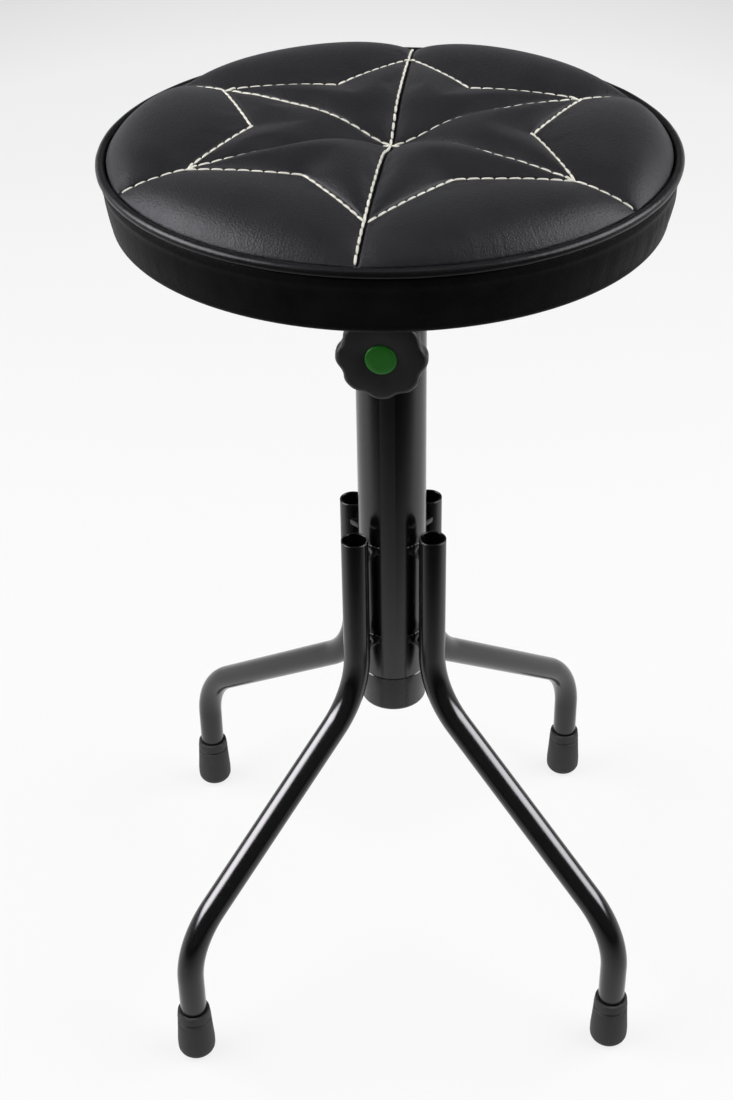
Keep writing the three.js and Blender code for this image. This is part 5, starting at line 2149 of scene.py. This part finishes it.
@dataclass
class Studio:
    """A pale floor and room, soft boxes at both sides and above, and the camera."""

    focal_pixels: float = 1846.79
    picture_height: float = 1100.0
    sensor: float = 36.0
    distance: float = 1.13955
    height: float = 1.12574
    pan: float = -0.016976
    pitch: float = 0.594215
    roll: float = -0.017853
    frame_turn: float = math.radians(-1.757)
    floor_side: float = 14.0
    floor_drop: float = 0.0002
    floor_white: float = 0.86
    pale_stretch: float = 1.6
    pale_shift: Point = (0.06, 0.2)
    pale_reach: float = 4.0
    pale: Stops = ((0.3, 1.0), (0.5, 0.98), (0.6, 0.88), (0.72, 0.72), (1.0, 0.82))
    front_reach: float = 1.4
    mirrored: Stops = ((0.07, 0.015), (0.45, 0.1), (0.69, 0.4), (0.84, 0.85), (0.93, 1.0))
    glow_share: float = 0.8
    room_light: float = 0.13
    room_pale: Colour = (0.84, 0.84, 0.85)
    room_low: Stops = ((0.03, 1.0), (0.28, 0.0))
    room_behind: Stops = ((0.3, 0.0), (0.5, 1.0))
    face_fade: Stops = ((0.03, 1.0), (0.12, 0.75), (0.25, 0.02))
    cool: Colour = (0.97, 0.95, 1.0)
    aim_height: float = 0.35
    boxes: tuple[SoftBox, ...] = (
        SoftBox("left_box", (-1.48, -0.08, 1.51), (2.0, 1.4), 3.5, 21.0),
        SoftBox("right_box", (1.48, -0.08, 1.51), (2.0, 1.4), 3.5, 15.0),
        SoftBox("top_box", (0.0, 0.9, 2.2), (1.6, 0.8), 0.8, 0.8),
        SoftBox("high_box", (0.0, -0.5, 2.3), (1.8, 1.5), 0.3, 1.8),
    )

    def build(self) -> None:
        """Builds the camera, the floor, the room and the soft boxes."""
        self.camera()
        plane = {"size": self.floor_side, "location": (0.0, 0.0, -self.floor_drop)}
        floor = Workpiece.added("floor", bpy.ops.mesh.primitive_plane_add, **plane)
        self.stage(floor, self.floor_shader)
        self.room()
        for box in self.boxes:
            self.hang(box)

    def camera(self) -> None:
        """Makes the camera that was fitted to the object's edges in the photograph."""
        flat = math.cos(self.pitch)
        forward = Vector((math.sin(self.pan) * flat, math.cos(self.pan) * flat, -math.sin(self.pitch)))
        level = Vector((math.cos(self.pan), -math.sin(self.pan), 0.0))
        above = level.cross(forward)
        right = math.cos(self.roll) * level + math.sin(self.roll) * above
        up = -math.sin(self.roll) * level + math.cos(self.roll) * above
        axes = Matrix((right, up, -forward)).transposed().to_4x4()
        data = bpy.data.cameras.new("camera")
        data.sensor_fit = "VERTICAL"
        data.sensor_height = data.sensor_width = self.sensor
        data.lens = self.sensor * self.focal_pixels / self.picture_height
        made = linked(data)
        made.matrix_world = turned_by(self.frame_turn) @ moved_by(0.0, -self.distance, self.height) @ axes
        bpy.context.scene.camera = made

    @staticmethod
    def stage(made: Workpiece, shader: Callable[[Graph], Term]) -> None:
        """Dresses a piece of the studio.

        Args:
            made: the piece.
            shader: draws its surface.
        """
        surface = new_material(made.piece.name, shader)
        surface.cycles.emission_sampling = "NONE"
        made.piece.data.materials.append(surface)

    def floor_shader(self, graph: Graph) -> Term:
        """Draws the floor: pale, glowing in part to the camera, and dimmer towards the front where gloss mirrors it.

        Args:
            graph: the material's node tree.

        Returns:
            The floor's shader, which keeps the shadows.
        """
        place = graph.node("ShaderNodeTexCoord", output="Object")
        right, back = self.pale_shift
        x, y = graph.axis(place, "X") * self.pale_stretch + right, graph.axis(place, "Y") - back
        pale = graph.ramp((x * x + y * y) ** 0.5 / self.pale_reach, self.pale)
        lit = graph.ramp(graph.axis(place, "Y") / self.front_reach + 1.0, self.mirrored)
        seen, gloss, through = graph.rays()
        glow = graph.node("ShaderNodeEmission", None, {"Color": pale * lit.at_least(seen), "Strength": 1.0})
        board = graph.node("ShaderNodeBsdfDiffuse", None, {"Color": (*[self.floor_white] * 3, 1.0)})
        share = (seen * self.glow_share).at_least(gloss).at_least(through)
        return graph.node("ShaderNodeMixShader", None, {0: share, 1: board, 2: glow})

    def room(self) -> None:
        """Gives the room a weak grey light. Camera and gloss see its lower part, behind and beside, as pale."""
        made = bpy.data.worlds.new("studio")
        bpy.context.scene.world = made
        made.use_nodes = True
        graph = Graph(made.node_tree)
        way = graph.node("ShaderNodeTexCoord", output="Generated")
        low = graph.ramp(graph.axis(way, "Z"), self.room_low)
        behind = graph.ramp(graph.axis(way, "Y") * 0.5 + 0.5, self.room_behind)
        seen, gloss, through = graph.rays()
        share = seen.at_least(gloss.at_least(through) * low * behind)
        soft = graph.node("ShaderNodeBackground", None, {"Color": (1.0, 1.0, 1.0, 1.0), "Strength": self.room_light})
        pale = graph.node("ShaderNodeBackground", None, {"Color": (*self.room_pale, 1.0), "Strength": 1.0})
        mixed = graph.node("ShaderNodeMixShader", None, {0: share, 1: soft, 2: pale})
        graph.node("ShaderNodeOutputWorld", None, {"Surface": mixed})

    def hang(self, box: SoftBox) -> None:
        """Hangs one soft box: a lamp that lights dull surfaces, and a face in its place that only reflections show.

        Args:
            box: the soft box.
        """
        place = Vector(box.place)
        aim = Vector((0.0, 0.0, self.aim_height)) - place
        stance = Matrix.Translation(place) @ aim.to_track_quat("-Z", "Y").to_matrix().to_4x4()
        data = bpy.data.lights.new(f"{box.name}_lamp", "AREA")
        data.shape = "RECTANGLE"
        data.size, data.size_y = box.size
        data.energy = box.dull * math.pi * box.size[0] * box.size[1]
        lamp = linked(data)
        lamp.matrix_world = stance
        lamp.visible_camera = lamp.visible_glossy = False
        face = Workpiece.added(f"{box.name}_face", bpy.ops.mesh.primitive_plane_add, size=1.0)
        face.placed(stance @ Matrix.Diagonal((*box.size, 1.0, 1.0)))
        for kind in ("camera", "diffuse", "transmission", "volume_scatter", "shadow"):
            setattr(face.piece, f"visible_{kind}", False)
        self.stage(face, lambda graph: self.face_shader(graph, box.glossy))

    def face_shader(self, graph: Graph, strength: float) -> Term:
        """Draws a soft box's face, which fades towards its edges.

        Args:
            graph: the material's node tree.
            strength: its brightness.

        Returns:
            The face's shader.
        """
        chart = graph.node("ShaderNodeTexCoord", output="UV")
        across, upwards = graph.axis(chart, "X") - 0.5, graph.axis(chart, "Y") - 0.5
        level = graph.ramp((across * across).at_least(upwards * upwards), self.face_fade)
        colour = graph.blend(level, (0.0, 0.0, 0.0), self.cool)
        return graph.node("ShaderNodeEmission", None, {"Color": colour, "Strength": strength})


def main() -> None:
    """Builds the stool piece by piece, and the studio round it."""
    logging.basicConfig(level=logging.INFO, format="%(name)s %(message)s", stream=sys.stdout)
    bpy.context.scene.view_settings.view_transform = "Standard"
    for assembly in (Studio, BentLegs, RubberFeet, Column, HandClamp, Post, SeatMount, Cover):
        assembly().build()
    quilt = Quilt()
    cushion = Cushion(quilt)
    Stitching(quilt, cushion.build(), cushion.placed).build()


if __name__ == "__main__":
    main()
